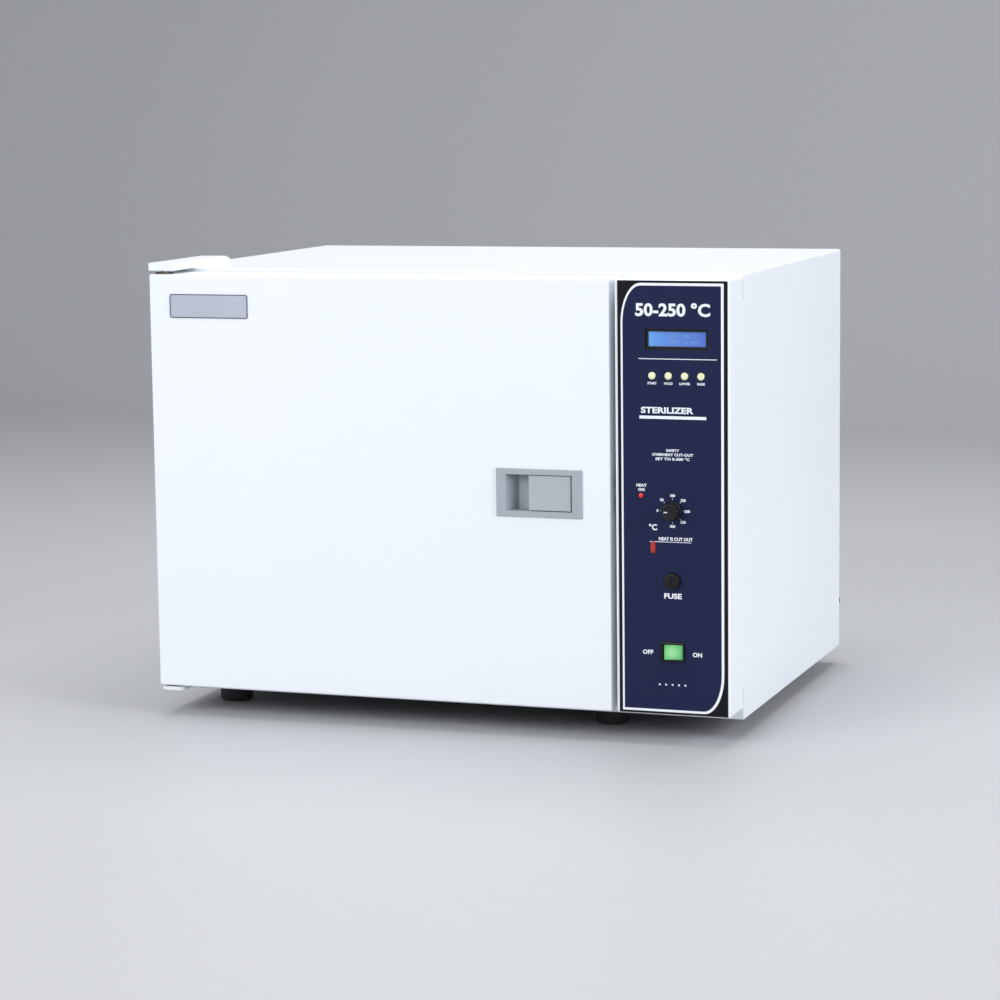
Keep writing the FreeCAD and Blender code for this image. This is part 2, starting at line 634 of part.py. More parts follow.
def foot_places():
    """Middle of each foot, across and back."""
    columns = (f"{LEFT} + foot_left", f"{DOOR_RIGHT} - foot_right")
    rows = (f"{CAB} + foot_inset", f"{BACK} - foot_inset")
    return [(x, y) for y in rows for x in columns]


def make_feet():
    """Four moulded rubber feet, wider at the cabinet, each with a screw well in its underside."""
    members = []
    for i, (x, y) in enumerate(foot_places(), start=1):
        foot = Piece(f"foot_{i}", alone=False)
        foot.pad(foot.on("XY", "0").circle(x, y, "foot_radius"), "foot_height")
        foot.chamfer("foot_taper", lambda edge, box: edge.BoundBox.ZMax < 0.01)
        foot.pocket(foot.on("XY", "0").circle(x, y, "screw_head + well_rim"), "foot_height / 2")
        foot.pocket(foot.on("XY", "0").circle(x, y, "screw_radius + fit_gap"), "foot_height")
        members.append(foot.body)
    group("feet", members)


def make_screws():
    """Screws of the feet, with their heads up in the wells, and of the back panel."""
    members = []
    for i, (x, y) in enumerate(foot_places(), start=1):
        members.append(screw(f"foot_screw_{i}", (x, y, "foot_height / 2"), PLUS_Z, "foot_height / 2 + screw_length"))
    group("foot_screws", members)
    members = []
    for i, (x, z) in enumerate(back_screw_places(), start=1):
        members.append(screw(f"back_screw_{i}", (x, BACK, z), -PLUS_Y))
    group("back_screws", members)


def make_rear_bumpers():
    """Two rubber buffers that keep the cabinet off the wall."""
    members = []
    for i, x in enumerate((f"{LEFT} + bumper_inset", f"{RIGHT} - bumper_inset"), start=1):
        bumper = Piece(f"bumper_{i}", alone=False)
        bumper.pad(bumper.on("XZ", BACK).circle(x, f"{BASE} + bumper_rise", "bumper_radius"), "bumper_length")
        bumper.chamfer("bumper_bevel", lambda edge, box: near(edge.BoundBox.YMin, box.YMax))
        members.append(bumper.body)
    group("rear_bumpers", members)

# Chamber

def back_wall_holes(outline, slack):
    """Outlines of everything that passes the chamber's back wall."""
    outline.circle(DOOR_MID, EXHAUST_LEVEL, f"exhaust_radius + exhaust_step + {slack}")
    outline.circle(f"{DOOR_MID} + probe_shift", EXHAUST_LEVEL, f"probe_radius + {slack}")
    outline.circle(f"{DOOR_MID} + bulb_shift", EXHAUST_LEVEL, f"bulb_radius + {slack}")
    for side in ("-", "+"):
        outline.circle(f"{DOOR_MID} {side} element_width / 2", ELEMENT_LEVEL, f"element_radius + {slack}")
    return outline


def make_chamber_liner():
    """Stainless box, open at the front, with a flat flange round its mouth."""
    piece = Piece("chamber_liner")
    outer = piece.on("XZ", CAB)
    outer.rect(f"{BAY_LEFT} - chamber_wall", f"{BAY_BOTTOM} - chamber_wall",
               f"{BAY_RIGHT} + chamber_wall", f"{BAY_TOP} + chamber_wall")
    piece.pad(outer, f"{BAY_DEPTH} + chamber_wall")
    piece.pocket(piece.on("XZ", CAB).rect(BAY_LEFT, BAY_BOTTOM, BAY_RIGHT, BAY_TOP), BAY_DEPTH)
    ring = piece.on("XZ", CAB)
    ring.rect(f"{BAY_LEFT} - flange_width", f"{BAY_BOTTOM} - flange_width",
              f"{BAY_RIGHT} + flange_width", f"{BAY_TOP} + flange_width")
    ring.rect(BAY_LEFT, BAY_BOTTOM, BAY_RIGHT, BAY_TOP)
    piece.pad(ring, "chamber_wall", -1)
    piece.pocket(back_wall_holes(piece.on("XZ", BAY_BACK), "fit_gap"), "chamber_wall")


def make_chamber_insulation():
    """Mineral wool jacket round the liner's sides and back."""
    piece = Piece("chamber_insulation")
    wall = "(chamber_wall + insulation_wall)"
    outer = piece.on("XZ", f"{CAB} + steel")
    outer.rect(f"{BAY_LEFT} - {wall}", f"{BAY_BOTTOM} - {wall}", f"{BAY_RIGHT} + {wall}", f"{BAY_TOP} + {wall}")
    piece.pad(outer, f"{BAY_DEPTH} - steel + chamber_wall + insulation_wall")
    inner = piece.on("XZ", f"{CAB} + steel")
    inner.rect(f"{BAY_LEFT} - chamber_wall", f"{BAY_BOTTOM} - chamber_wall",
               f"{BAY_RIGHT} + chamber_wall", f"{BAY_TOP} + chamber_wall")
    piece.pocket(inner, f"{BAY_DEPTH} - steel + chamber_wall")
    piece.pocket(back_wall_holes(piece.on("XZ", LINER_BACK), "fit_gap"), "insulation_wall")


def make_floor_plate():
    """False floor over the heating element: a folded sheet with rows of air slots."""
    piece = Piece("floor_plate")
    left = f"{BAY_LEFT} + fit_gap"
    front = f"{CAB} + fit_gap * 10"
    back = f"{BAY_BACK} - fit_gap"
    low = BAY_BOTTOM
    high = f"{BAY_BOTTOM} + floor_rise"
    width = f"({BAY_RIGHT} - {BAY_LEFT})"
    piece.pad(piece.on("YZ", left).rect(front, low, back, high), f"{width} - 2 * fit_gap")
    under = piece.on("YZ", left)
    under.rect(f"{front} + chamber_wall", f"{low} - chamber_wall", f"{back} - chamber_wall", f"{high} - chamber_wall")
    piece.pocket(under, width)
    span = "(element_width / 2 + 3 * element_radius)"
    notch = piece.on("XZ", f"{back} - 2 * chamber_wall")
    notch.rect(f"{DOOR_MID} - {span}", f"{low} - chamber_wall", f"{DOOR_MID} + {span}",
               f"{low} + element_rise + 2 * element_radius")
    piece.pocket(notch, "3 * chamber_wall")
    slots = piece.on("XY", f"{high} - 2 * chamber_wall")
    pitch = f"(({BAY_DEPTH} - floor_slot_width) / floor_slot_rows)"
    for column in range(-2, 3):
        middle = f"({DOOR_MID} + {column} * {width} / 5.5)"
        slots.rect(f"{middle} - floor_slot_length / 2", f"{front} + {pitch} / 2",
                   f"{middle} + floor_slot_length / 2", f"{front} + {pitch} / 2 + floor_slot_width")
    cut = piece.pocket(slots, "3 * chamber_wall")
    piece.repeat(cut, "Y_Axis", pitch, int(number("floor_slot_rows")))


def make_heating_element():
    """Sheathed element bent into a wide U; both ends leave through the back wall."""
    bend = number("element_bend")
    left = number(f"{DOOR_MID} - element_width / 2")
    right = number(f"{DOOR_MID} + element_width / 2")
    level = number(ELEMENT_LEVEL)
    front = number(f"{CAB} + element_front")
    end = number(f"{WOOL_BACK} + element_tail")
    reach = bend * (1 - math.sqrt(0.5))
    run = [
        Part.LineSegment(Vector(left, end, level), Vector(left, front + bend, level)),
        Part.Arc(Vector(left, front + bend, level), Vector(left + reach, front + reach, level),
                 Vector(left + bend, front, level)),
        Part.LineSegment(Vector(left + bend, front, level), Vector(right - bend, front, level)),
        Part.Arc(Vector(right - bend, front, level), Vector(right - reach, front + reach, level),
                 Vector(right, front + bend, level)),
        Part.LineSegment(Vector(right, front + bend, level), Vector(right, end, level)),
    ]
    path = Part.Wire([item.toShape() for item in run])
    section = Part.Wire([Part.Circle(Vector(left, end, level), PLUS_Y, number("element_radius")).toShape()])
    element = doc.addObject("Part::Feature", "heating_element")
    element.Label = "heating_element"
    element.Shape = path.makePipeShell([section], True, False)
    PIECES.append(element)


def make_element_bracket():
    """Upright strip across the chamber floor that carries the element's two legs in notches."""
    piece = Piece("element_bracket")
    y = f"{CAB} + element_front + 2 * element_bend"
    half = "(element_width / 2 + 4 * element_radius)"
    strip = piece.on("XZ", y)
    strip.rect(f"{DOOR_MID} - {half}", BAY_BOTTOM, f"{DOOR_MID} + {half}", ELEMENT_LEVEL)
    piece.pad(strip, "chamber_wall")
    notches = piece.on("XZ", y)
    for side in ("-", "+"):
        notches.circle(f"{DOOR_MID} {side} element_width / 2", ELEMENT_LEVEL, "element_radius + running_gap")
    piece.pocket(notches, "chamber_wall")
    foot = piece.on("XY", BAY_BOTTOM)
    foot.rect(f"{DOOR_MID} - {half}", f"{y} + chamber_wall", f"{DOOR_MID} + {half}", f"{y} + lip")
    piece.pad(foot, "chamber_wall")


def make_runner(label, wall_x, way):
    """Pressed side rack: an upright web against the chamber wall with four shelf ledges."""
    piece = Piece(label)
    y = f"{CAB} + runner_inset"
    length = f"{BAY_DEPTH} - 2 * runner_inset"
    inner = f"{wall_x} {way} chamber_wall"
    tip = f"{wall_x} {way} runner_reach"
    low = f"{BAY_BOTTOM} + floor_rise"
    high = f"{BAY_TOP} - runner_drop"
    xs = sorted([wall_x, inner, tip], key=number)
    web = xs[:2] if way == "+" else xs[1:]
    ledge_xs = xs[1:] if way == "+" else xs[:2]
    piece.pad(piece.on("XZ", y).rect(web[0], low, web[1], high), length)
    ledge = piece.on("XZ", y)
    first = f"{BAY_BOTTOM} + runner_first"
    ledge.rect(ledge_xs[0], f"{first} - chamber_wall", ledge_xs[1], first)
    pad = piece.pad(ledge, length)
    piece.repeat(pad, "Z_Axis", RUNNER_PITCH, 4)


def make_shelf(label, step):
    """Welded wire shelf: two thick cross wires that lie on the ledges, side wires and thin bars."""
    wire = number("shelf_wire")
    low_x = number(f"{BAY_LEFT} + shelf_gap + shelf_wire")
    high_x = number(f"{BAY_RIGHT} - shelf_gap - shelf_wire")
    low_y = number(f"{CAB} + runner_inset + shelf_wire")
    high_y = number(f"{BAY_BACK} - runner_inset - shelf_wire")
    level = number(f"{BAY_BOTTOM} + runner_first + {step} * {RUNNER_PITCH} + shelf_wire")
    wires = []
    for y in (low_y, high_y):
        wires.append(Part.makeCylinder(wire, high_x - low_x + 2 * wire, Vector(low_x - wire, y, level), PLUS_X))
    for x in (low_x, high_x):
        foot = Vector(x, low_y, level)
        wires.append(Part.makeCylinder(number("shelf_side"), high_y - low_y, foot, PLUS_Y))
    half_count = int((high_x - low_x) / 2 / number("shelf_spacing"))
    middle = (low_x + high_x) / 2
    for i in range(-half_count, half_count + 1):
        foot = Vector(middle + i * number("shelf_spacing"), low_y, level)
        wires.append(Part.makeCylinder(number("shelf_bar"), high_y - low_y, foot, PLUS_Y))
    shelf = doc.addObject("Part::Feature", label)
    shelf.Label = label
    shelf.Shape = wires[0].multiFuse(wires[1:]).removeSplitter()
    PIECES.append(shelf)


def make_exhaust_tube():
    """Air outlet tube through the back panel, with a collar in the chamber and a hose stop outside."""
    piece = Piece("exhaust_tube")
    piece.pad(piece.on("XZ", BAY_BACK).circle(DOOR_MID, EXHAUST_LEVEL, "exhaust_radius + exhaust_step"),
              f"{BACK} - {BAY_BACK}")
    piece.pad(piece.on("XZ", BACK).circle(DOOR_MID, EXHAUST_LEVEL, "exhaust_radius"), "exhaust_reach")
    stop = piece.on("XZ", BACK)
    piece.pad(stop.circle(DOOR_MID, EXHAUST_LEVEL, "exhaust_radius + exhaust_rim"), "exhaust_stop")
    piece.pad(piece.on("XZ", BAY_BACK).circle(DOOR_MID, EXHAUST_LEVEL, "exhaust_radius * 1.5"), "chamber_wall", -1)
    bore = piece.on("XZ", f"{BAY_BACK} - chamber_wall")
    bore.circle(DOOR_MID, EXHAUST_LEVEL, "exhaust_radius - exhaust_wall")
    piece.pocket(bore, TOTAL_DEPTH)


def make_sensor(label, shift, radius):
    """A sensor rod through the chamber's back wall, with a union nut behind the insulation."""
    piece = Piece(label)
    x = f"{DOOR_MID} + {shift}"
    start = f"{BAY_BACK} - probe_reach"
    piece.pad(piece.on("XZ", start).circle(x, EXHAUST_LEVEL, radius), f"{WOOL_BACK} + element_tail - ({start})")
    piece.pad(piece.on("XZ", WOOL_BACK).hexagon(x, EXHAUST_LEVEL, f"{radius} * 2"), "element_tail / 2")
    piece.chamfer(f"{radius} / 2", lambda edge, box: near(edge.BoundBox.YMax, box.YMin))

# Control box

def make_control_box():
    """Folded steel box that carries the controls, open at the back, with two inward lips there."""
    piece = Piece("control_box")
    piece.pad(piece.on("XZ", FRONT).rect(BOX_LEFT, DOOR_BOTTOM, RIGHT, DOOR_TOP), "front_depth")
    piece.fillet("door_edge", lambda edge, box: near(edge.BoundBox.YMax, box.YMin)
                 or (along(edge, 1) and (near(edge.CenterOfMass.x, box.XMax) or near(edge.CenterOfMass.x, box.XMin))))
    hollow = piece.on("XZ", PANEL_BACK)
    hollow.rect(f"{BOX_LEFT} + steel", f"{DOOR_BOTTOM} + steel", f"{RIGHT} - steel", f"{DOOR_TOP} - steel")
    piece.pocket(hollow, "front_depth")
    for low_x, high_x in ((f"{BOX_LEFT} + steel", f"{BOX_LEFT} + steel + lip / 2"),
                          (f"{RIGHT} - steel - lip / 2", f"{RIGHT} - steel")):
        lips = piece.on("XZ", CAB)
        lips.rect(low_x, f"{DOOR_BOTTOM} + steel", high_x, f"{DOOR_TOP} - steel")
        piece.pad(lips, "steel", -1)
    openings = piece.on("XZ", FRONT)
    panel_openings(openings, "0")
    piece.pocket(openings, "2 * steel")
    slits = piece.on("YZ", f"{RIGHT} - 2 * steel")
    reach = "lip * 1.3"
    depth = "steel * 1.2"
    slits.rect(f"{CAB} - {depth}", f"{DOOR_TOP} - {reach}", f"{CAB} + steel", f"{DOOR_TOP} - 2 * steel")
    slits.rect(f"{CAB} - {depth}", f"{DOOR_BOTTOM} + 2 * steel", f"{CAB} + steel", f"{DOOR_BOTTOM} + {reach}")
    piece.pocket(slits, "4 * steel")


def panel_openings(outline, slack):
    """Outlines of every opening in the panel, each larger than its fitting by a clearance."""
    half_width = f"(display_width / 2 + {slack})"
    half_height = f"(display_height / 2 + {slack})"
    outline.rect(f"{DISPLAY_MID} - {half_width}", f"{DISPLAY_LEVEL} - {half_height}",
                 f"{DISPLAY_MID} + {half_width}", f"{DISPLAY_LEVEL} + {half_height}")
    for step in (-1.5, -0.5, 0.5, 1.5):
        outline.circle(f"{DISPLAY_MID} + {step} * key_pitch", KEY_LEVEL, f"key_radius + fit_gap + {slack}")
    outline.circle(f"{PANEL_MID} - lamp_shift", f"{BASE} + lamp_rise", f"lamp_radius + {slack}")
    oval_x = f"{PANEL_MID} - limit_lamp_shift"
    oval_z = f"{BASE} + limit_lamp_rise"
    outline.rect(f"{oval_x} - limit_lamp_width / 2 - {slack}", f"{oval_z} - limit_lamp_height / 2 - {slack}",
                 f"{oval_x} + limit_lamp_width / 2 + {slack}", f"{oval_z} + limit_lamp_height / 2 + {slack}")
    outline.circle(PANEL_MID, KNOB_LEVEL, f"shaft_radius * 1.5 + {slack}")
    outline.circle(PANEL_MID, FUSE_LEVEL, f"fuse_barrel + {slack}")
    half_width = f"(switch_width / 2 - switch_body + {slack})"
    half_height = f"(switch_height / 2 - switch_body + {slack})"
    outline.rect(f"{PANEL_MID} - {half_width}", f"{SWITCH_LEVEL} - {half_height}",
                 f"{PANEL_MID} + {half_width}", f"{SWITCH_LEVEL} + {half_height}")


def make_control_overlay():
    """Printed polyester overlay on the face of the control box."""
    piece = Piece("control_overlay")
    sheet_edge = piece.on("XZ", FRONT)
    sheet_edge.rect(f"{BOX_LEFT} + overlay_left", f"{DOOR_BOTTOM} + overlay_edge",
                    f"{RIGHT} - overlay_side", f"{DOOR_TOP} - overlay_edge")
    piece.pad(sheet_edge, "overlay_wall", -1)
    openings = piece.on("XZ", OVERLAY_FACE)
    panel_openings(openings, "0")
    piece.pocket(openings, "2 * overlay_wall")


def make_display():
    """Character display: a black frame that stands on the circuit board and a glass plate in it."""
    piece = Piece("display_frame")
    half_w = "(display_width / 2 + display_rim)"
    half_h = "(display_height / 2 + display_rim)"
    outer = piece.on("XZ", PANEL_BACK)
    outer.rect(f"{DISPLAY_MID} - {half_w}", f"{DISPLAY_LEVEL} - {half_h}",
               f"{DISPLAY_MID} + {half_w}", f"{DISPLAY_LEVEL} + {half_h}")
    piece.pad(outer, "board_depth - steel")
    window = piece.on("XZ", PANEL_BACK)
    window.rect(f"{DISPLAY_MID} - window_width / 2", f"{DISPLAY_LEVEL} - window_height / 2",
                f"{DISPLAY_MID} + window_width / 2", f"{DISPLAY_LEVEL} + window_height / 2")
    piece.pocket(window, "window_depth + window_wall - steel")
    glass = Piece("display_glass")
    pane = glass.on("XZ", f"{FRONT} + window_depth")
    pane.rect(f"{DISPLAY_MID} - window_width / 2", f"{DISPLAY_LEVEL} - window_height / 2",
              f"{DISPLAY_MID} + window_width / 2", f"{DISPLAY_LEVEL} + window_height / 2")
    glass.pad(pane, "window_wall")


def board_edges():
    """Lowest and highest corner of the circuit board, across and up."""
    half = "(display_width / 2 + display_rim + board_rim)"
    low_z = f"{KEY_LEVEL} - key_radius - board_rim"
    high_z = f"{DISPLAY_LEVEL} + display_height / 2 + display_rim + board_rim"
    return f"{DISPLAY_MID} - {half}", low_z, f"{DISPLAY_MID} + {half}", high_z


def make_control_board():
    """Circuit board that carries the display and the key switches, on four posts."""
    low_x, low_z, high_x, high_z = board_edges()
    board = Piece("control_board")
    board.pad(board.on("XZ", f"{FRONT} + board_depth").rect(low_x, low_z, high_x, high_z), "board_wall")
    posts = []
    for i, x in enumerate((f"{low_x} + board_rim / 2", f"{high_x} - board_rim / 2")):
        for j, z in enumerate((f"{low_z} + board_rim / 2", f"{high_z} - board_rim / 2")):
            spot = (x, PANEL_BACK, z)
            posts.append(hex_rod(f"board_post_{i}{j}", "post_radius", "board_depth - steel", spot, PLUS_Y))
    group("board_posts", posts)
    switches = []
    for i, step in enumerate((-1.5, -0.5, 0.5, 1.5), start=1):
        switch = Piece(f"key_switch_{i}", alone=False)
        x = f"{DISPLAY_MID} + {step} * key_pitch"
        block = switch.on("XZ", f"{FRONT} + board_depth / 2")
        block.rect(f"{x} - key_switch / 2", f"{KEY_LEVEL} - key_switch / 2",
                   f"{x} + key_switch / 2", f"{KEY_LEVEL} + key_switch / 2")
        switch.pad(block, "board_depth / 2")
        switches.append(switch.body)
    group("key_switches", switches)


def make_key(label, step):
    """Push button: a bevelled cap, a collar behind the panel and a stem that meets its switch."""
    piece = Piece(label)
    x = f"{DISPLAY_MID} + {step} * key_pitch"
    face = f"{OVERLAY_FACE} - key_reach"
    collar = f"{PANEL_BACK} + fit_gap"
    stem_end = f"{FRONT} + board_depth / 2 - key_travel - fit_gap"
    piece.pad(piece.on("XZ", face).circle(x, KEY_LEVEL, "key_radius"), f"{collar} - ({face})")
    piece.chamfer("key_reach / 2", lambda edge, box: near(edge.BoundBox.YMax, box.YMin))
    piece.pad(piece.on("XZ", collar).circle(x, KEY_LEVEL, "key_radius + key_flange"), "key_flange")
    stem = piece.on("XZ", f"{collar} + key_flange")
    piece.pad(stem.circle(x, KEY_LEVEL, "key_stem"), f"{stem_end} - ({collar}) - key_flange")


def make_lamps():
    """Round heating lamp and oval limit lamp, each a lens with a collar behind the panel."""
    lamp = Piece("heating_lamp")
    x = f"{PANEL_MID} - lamp_shift"
    z = f"{BASE} + lamp_rise"
    lamp.pad(lamp.on("XZ", f"{OVERLAY_FACE} - lamp_reach").circle(x, z, "lamp_radius"),
             "lamp_reach + overlay_wall + steel")
    lamp.chamfer("lamp_reach * 0.6", lambda edge, box: near(edge.BoundBox.YMax, box.YMin))
    lamp.pad(lamp.on("XZ", PANEL_BACK).circle(x, z, "lamp_radius * 1.3"), "lamp_radius * 2")
    oval = Piece("limit_lamp")
    x = f"{PANEL_MID} - limit_lamp_shift"
    z = f"{BASE} + limit_lamp_rise"
    lens = oval.on("XZ", f"{OVERLAY_FACE} - lamp_reach")
    lens.rect(f"{x} - limit_lamp_width / 2", f"{z} - limit_lamp_height / 2",
              f"{x} + limit_lamp_width / 2", f"{z} + limit_lamp_height / 2")
    oval.pad(lens, "lamp_reach + overlay_wall + steel")
    oval.fillet("lamp_reach * 0.8", lambda edge, box: near(edge.BoundBox.YMax, box.YMin))
    collar = oval.on("XZ", PANEL_BACK)
    collar.rect(f"{x} - limit_lamp_width / 2 - steel", f"{z} - limit_lamp_height / 2 - steel",
                f"{x} + limit_lamp_width / 2 + steel", f"{z} + limit_lamp_height / 2 + steel")
    oval.pad(collar, "lamp_radius * 2")


def make_thermostat():
    """Limit thermostat: a can behind the panel, a turning shaft and a fluted knob with a pointer."""
    can = Piece("thermostat_body")
    can.pad(can.on("XZ", PANEL_BACK).circle(PANEL_MID, KNOB_LEVEL, "thermostat_radius"), "thermostat_length")
    bore = can.on("XZ", PANEL_BACK)
    can.pocket(bore.circle(PANEL_MID, KNOB_LEVEL, "shaft_radius + running_gap"), "thermostat_length / 2")
    shaft = Piece("thermostat_shaft")
    start = f"{OVERLAY_FACE} - knob_gap - knob_height / 2"
    finish = f"{PANEL_BACK} + thermostat_length / 2 - fit_gap"
    shaft.pad(shaft.on("XZ", start).circle(PANEL_MID, KNOB_LEVEL, "shaft_radius"), f"{finish} - ({start})")
    knob = Piece("thermostat_knob")
    back = f"{OVERLAY_FACE} - knob_gap"
    knob.pad(knob.on("XZ", back).circle(PANEL_MID, KNOB_LEVEL, "knob_radius"), "knob_height", -1)
    knob.chamfer("knob_radius / 8", lambda edge, box: near(edge.BoundBox.YMax, box.YMin))
    flute = knob.on("XZ", f"{back} - knob_height * 0.25")
    flute.circle(PANEL_MID, f"{KNOB_LEVEL} + knob_radius * 1.06", "knob_radius / 7")
    cut = knob.pocket(flute, "knob_height", -1)
    ring = knob.body.newObject("PartDesign::PolarPattern", "thermostat_knob_flutes")
    ring.Originals = [cut]
    axis = knob.on("XZ", back)
    axis.circle(PANEL_MID, KNOB_LEVEL, "knob_radius")
    ring.Axis = (axis.sketch, ["N_Axis"])
    ring.Angle = 360
    ring.Occurrences = int(number("knob_flutes"))
    knob.body.Tip = ring
    doc.recompute()
    hole = knob.on("XZ", back)
    knob.pocket(hole.circle(PANEL_MID, KNOB_LEVEL, "shaft_radius"), "knob_height / 2", -1)


def make_fuse():
    """Fuse holder behind the panel and its cap, whose carrier turns in the holder."""
    holder = Piece("fuse_holder")
    holder.pad(holder.on("XZ", OVERLAY_FACE).circle(PANEL_MID, FUSE_LEVEL, "fuse_barrel"),
               "overlay_wall + fuse_length")
    bore = holder.on("XZ", OVERLAY_FACE)
    bore.circle(PANEL_MID, FUSE_LEVEL, "fuse_stem + running_gap")
    holder.pocket(bore, "fuse_length")
    nut = holder.on("XZ", PANEL_BACK)
    nut.hexagon(PANEL_MID, FUSE_LEVEL, "fuse_barrel * 1.5")
    nut.circle(PANEL_MID, FUSE_LEVEL, "fuse_barrel")
    holder.pad(nut, "steel * 2")
    cap = Piece("fuse_cap")
    back = f"{OVERLAY_FACE} - fit_gap"
    cap.pad(cap.on("XZ", back).circle(PANEL_MID, FUSE_LEVEL, "fuse_radius"), "fuse_reach - fit_gap", -1)
    cap.chamfer("fuse_reach / 4", lambda edge, box: near(edge.BoundBox.YMax, box.YMin))
    cap.pad(cap.on("XZ", back).circle(PANEL_MID, FUSE_LEVEL, "fuse_stem"), "fuse_length * 0.9")
    grip = cap.on("XZ", f"{OVERLAY_FACE} - fuse_reach")
    grip.rect(f"{PANEL_MID} - fuse_radius / 2", f"{FUSE_LEVEL} - fuse_reach / 8",
              f"{PANEL_MID} + fuse_radius / 2", f"{FUSE_LEVEL} + fuse_reach / 8")
    cap.pocket(grip, "fuse_reach / 4")


def make_switch():
    """Lit rocker switch: a frame with its body behind the panel, and a rocker with two sloped halves."""
    frame = Piece("switch_frame")
    face = f"{OVERLAY_FACE} - switch_reach"
    rim = frame.on("XZ", face)
    rim.rect(f"{PANEL_MID} - switch_width / 2", f"{SWITCH_LEVEL} - switch_height / 2",
             f"{PANEL_MID} + switch_width / 2", f"{SWITCH_LEVEL} + switch_height / 2")
    frame.pad(rim, "switch_reach")
    frame.fillet("switch_reach / 2", lambda edge, box: near(edge.BoundBox.YMax, box.YMin))
    half_w = "(switch_width / 2 - switch_body)"
    half_h = "(switch_height / 2 - switch_body)"
    shell = frame.on("XZ", OVERLAY_FACE)
    shell.rect(f"{PANEL_MID} - {half_w}", f"{SWITCH_LEVEL} - {half_h}",
               f"{PANEL_MID} + {half_w}", f"{SWITCH_LEVEL} + {half_h}")
    frame.pad(shell, "overlay_wall + switch_depth")
    well = frame.on("XZ", face)
    half_w = "(switch_width / 2 - switch_rim)"
    half_h = "(switch_height / 2 - switch_rim)"
    well.rect(f"{PANEL_MID} - {half_w}", f"{SWITCH_LEVEL} - {half_h}",
              f"{PANEL_MID} + {half_w}", f"{SWITCH_LEVEL} + {half_h}")
    frame.pocket(well, "switch_reach + overlay_wall + switch_depth * 0.8")
    rocker = Piece("switch_rocker")
    half = "(switch_height / 2 - switch_rim - fit_gap)"
    rocker.pad(rocker.on("XY", f"-{half}").circle("0", "0", "rocker_radius"), f"2 * {half}")
    reach = "rocker_pivot + overlay_wall + switch_reach"
    drop = "rocker_radius * tan(rocker_dish * 1 deg)"
    trim = rocker.on("XY", f"-{half} - fit_gap")
    trim.polygon([
        ("-2 * rocker_radius", "-2 * rocker_radius"), ("2 * rocker_radius", "-2 * rocker_radius"),
        ("2 * rocker_radius", f"-({reach}) - 2 * {drop}"), ("0", f"-({reach})"),
        ("-2 * rocker_radius", f"-({reach}) - 2 * {drop}"),
    ])
    rocker.pocket(trim, f"2 * {half} + 2 * fit_gap")
    back = rocker.on("XY", f"-{half} - fit_gap")
    back.rect("-2 * rocker_radius", "rocker_radius / 3", "2 * rocker_radius", "2 * rocker_radius")
    rocker.pocket(back, f"2 * {half} + 2 * fit_gap")
    rocker.body.Placement.Rotation = FreeCAD.Rotation(PLUS_Z, 1)
    rocker.body.setExpression("Placement.Rotation.Angle", linked("rocker_dish * 1 deg"))
    rocker.body.setExpression("Placement.Base.x", linked(PANEL_MID))
    rocker.body.setExpression("Placement.Base.y", linked(f"{FRONT} + rocker_pivot"))
    rocker.body.setExpression("Placement.Base.z", linked(SWITCH_LEVEL))


def make_power_parts():
    """Power inlet in the back panel and the power module on the base pan."""
    x = f"{RIGHT} - inlet_inset"
    z = f"{BASE} + inlet_rise"
    inlet = Piece("power_inlet")
    rim = inlet.on("XZ", BACK)
    rim.rect(f"{x} - inlet_width / 2 - inlet_rim", f"{z} - inlet_height / 2 - inlet_rim",
             f"{x} + inlet_width / 2 + inlet_rim", f"{z} + inlet_height / 2 + inlet_rim")
    inlet.pad(rim, "steel * 2")
    inlet.fillet("steel", lambda edge, box: near(edge.BoundBox.YMin, box.YMax))
    body = inlet.on("XZ", f"{BACK} - inlet_depth")
    body.rect(f"{x} - inlet_width / 2", f"{z} - inlet_height / 2", f"{x} + inlet_width / 2", f"{z} + inlet_height / 2")
    inlet.pad(body, "inlet_depth")
    socket = inlet.on("XZ", f"{BACK} + steel * 2")
    half_w = "(inlet_width / 2 - inlet_wall)"
    half_h = "(inlet_height / 2 - inlet_wall)"
    socket.rect(f"{x} - {half_w}", f"{z} - {half_h}", f"{x} + {half_w}", f"{z} + {half_h}")
    inlet.pocket(socket, "inlet_socket", -1)
    blades = inlet.on("XZ", f"{BACK} + steel * 2 - inlet_socket")
    for step in (-1, 0, 1):
        middle = f"({x} + {step} * blade_pitch)"
        blades.rect(f"{middle} - blade_width / 2", f"{z} - blade_height / 2",
                    f"{middle} + blade_width / 2", f"{z} + blade_height / 2")
    inlet.pad(blades, "blade_length")
    module = Piece("power_module")
    left = f"{WOOL_RIGHT} + divider_gap + lip * 1.5"
    low = f"{BASE} + steel"
    block = module.on("XZ", f"{CAB} + cab_depth / 2")
    block.rect(left, low, f"{left} + module_width", f"{low} + module_height")
    module.pad(block, "module_depth")
    module.chamfer("steel * 2", lambda edge, box: along(edge, 1) and near(edge.CenterOfMass.z, box.ZMax))

# Door and its hinges

def hinge_screw_places():
    """Where the screws of the upper hinge arm stand, across and back; their heads are inside."""
    x = f"{LEFT} + arm_width / 2"
    return [(x, f"{CAB} + lip"), (x, f"{FRONT} + arm_length - arm_slope - lip")]


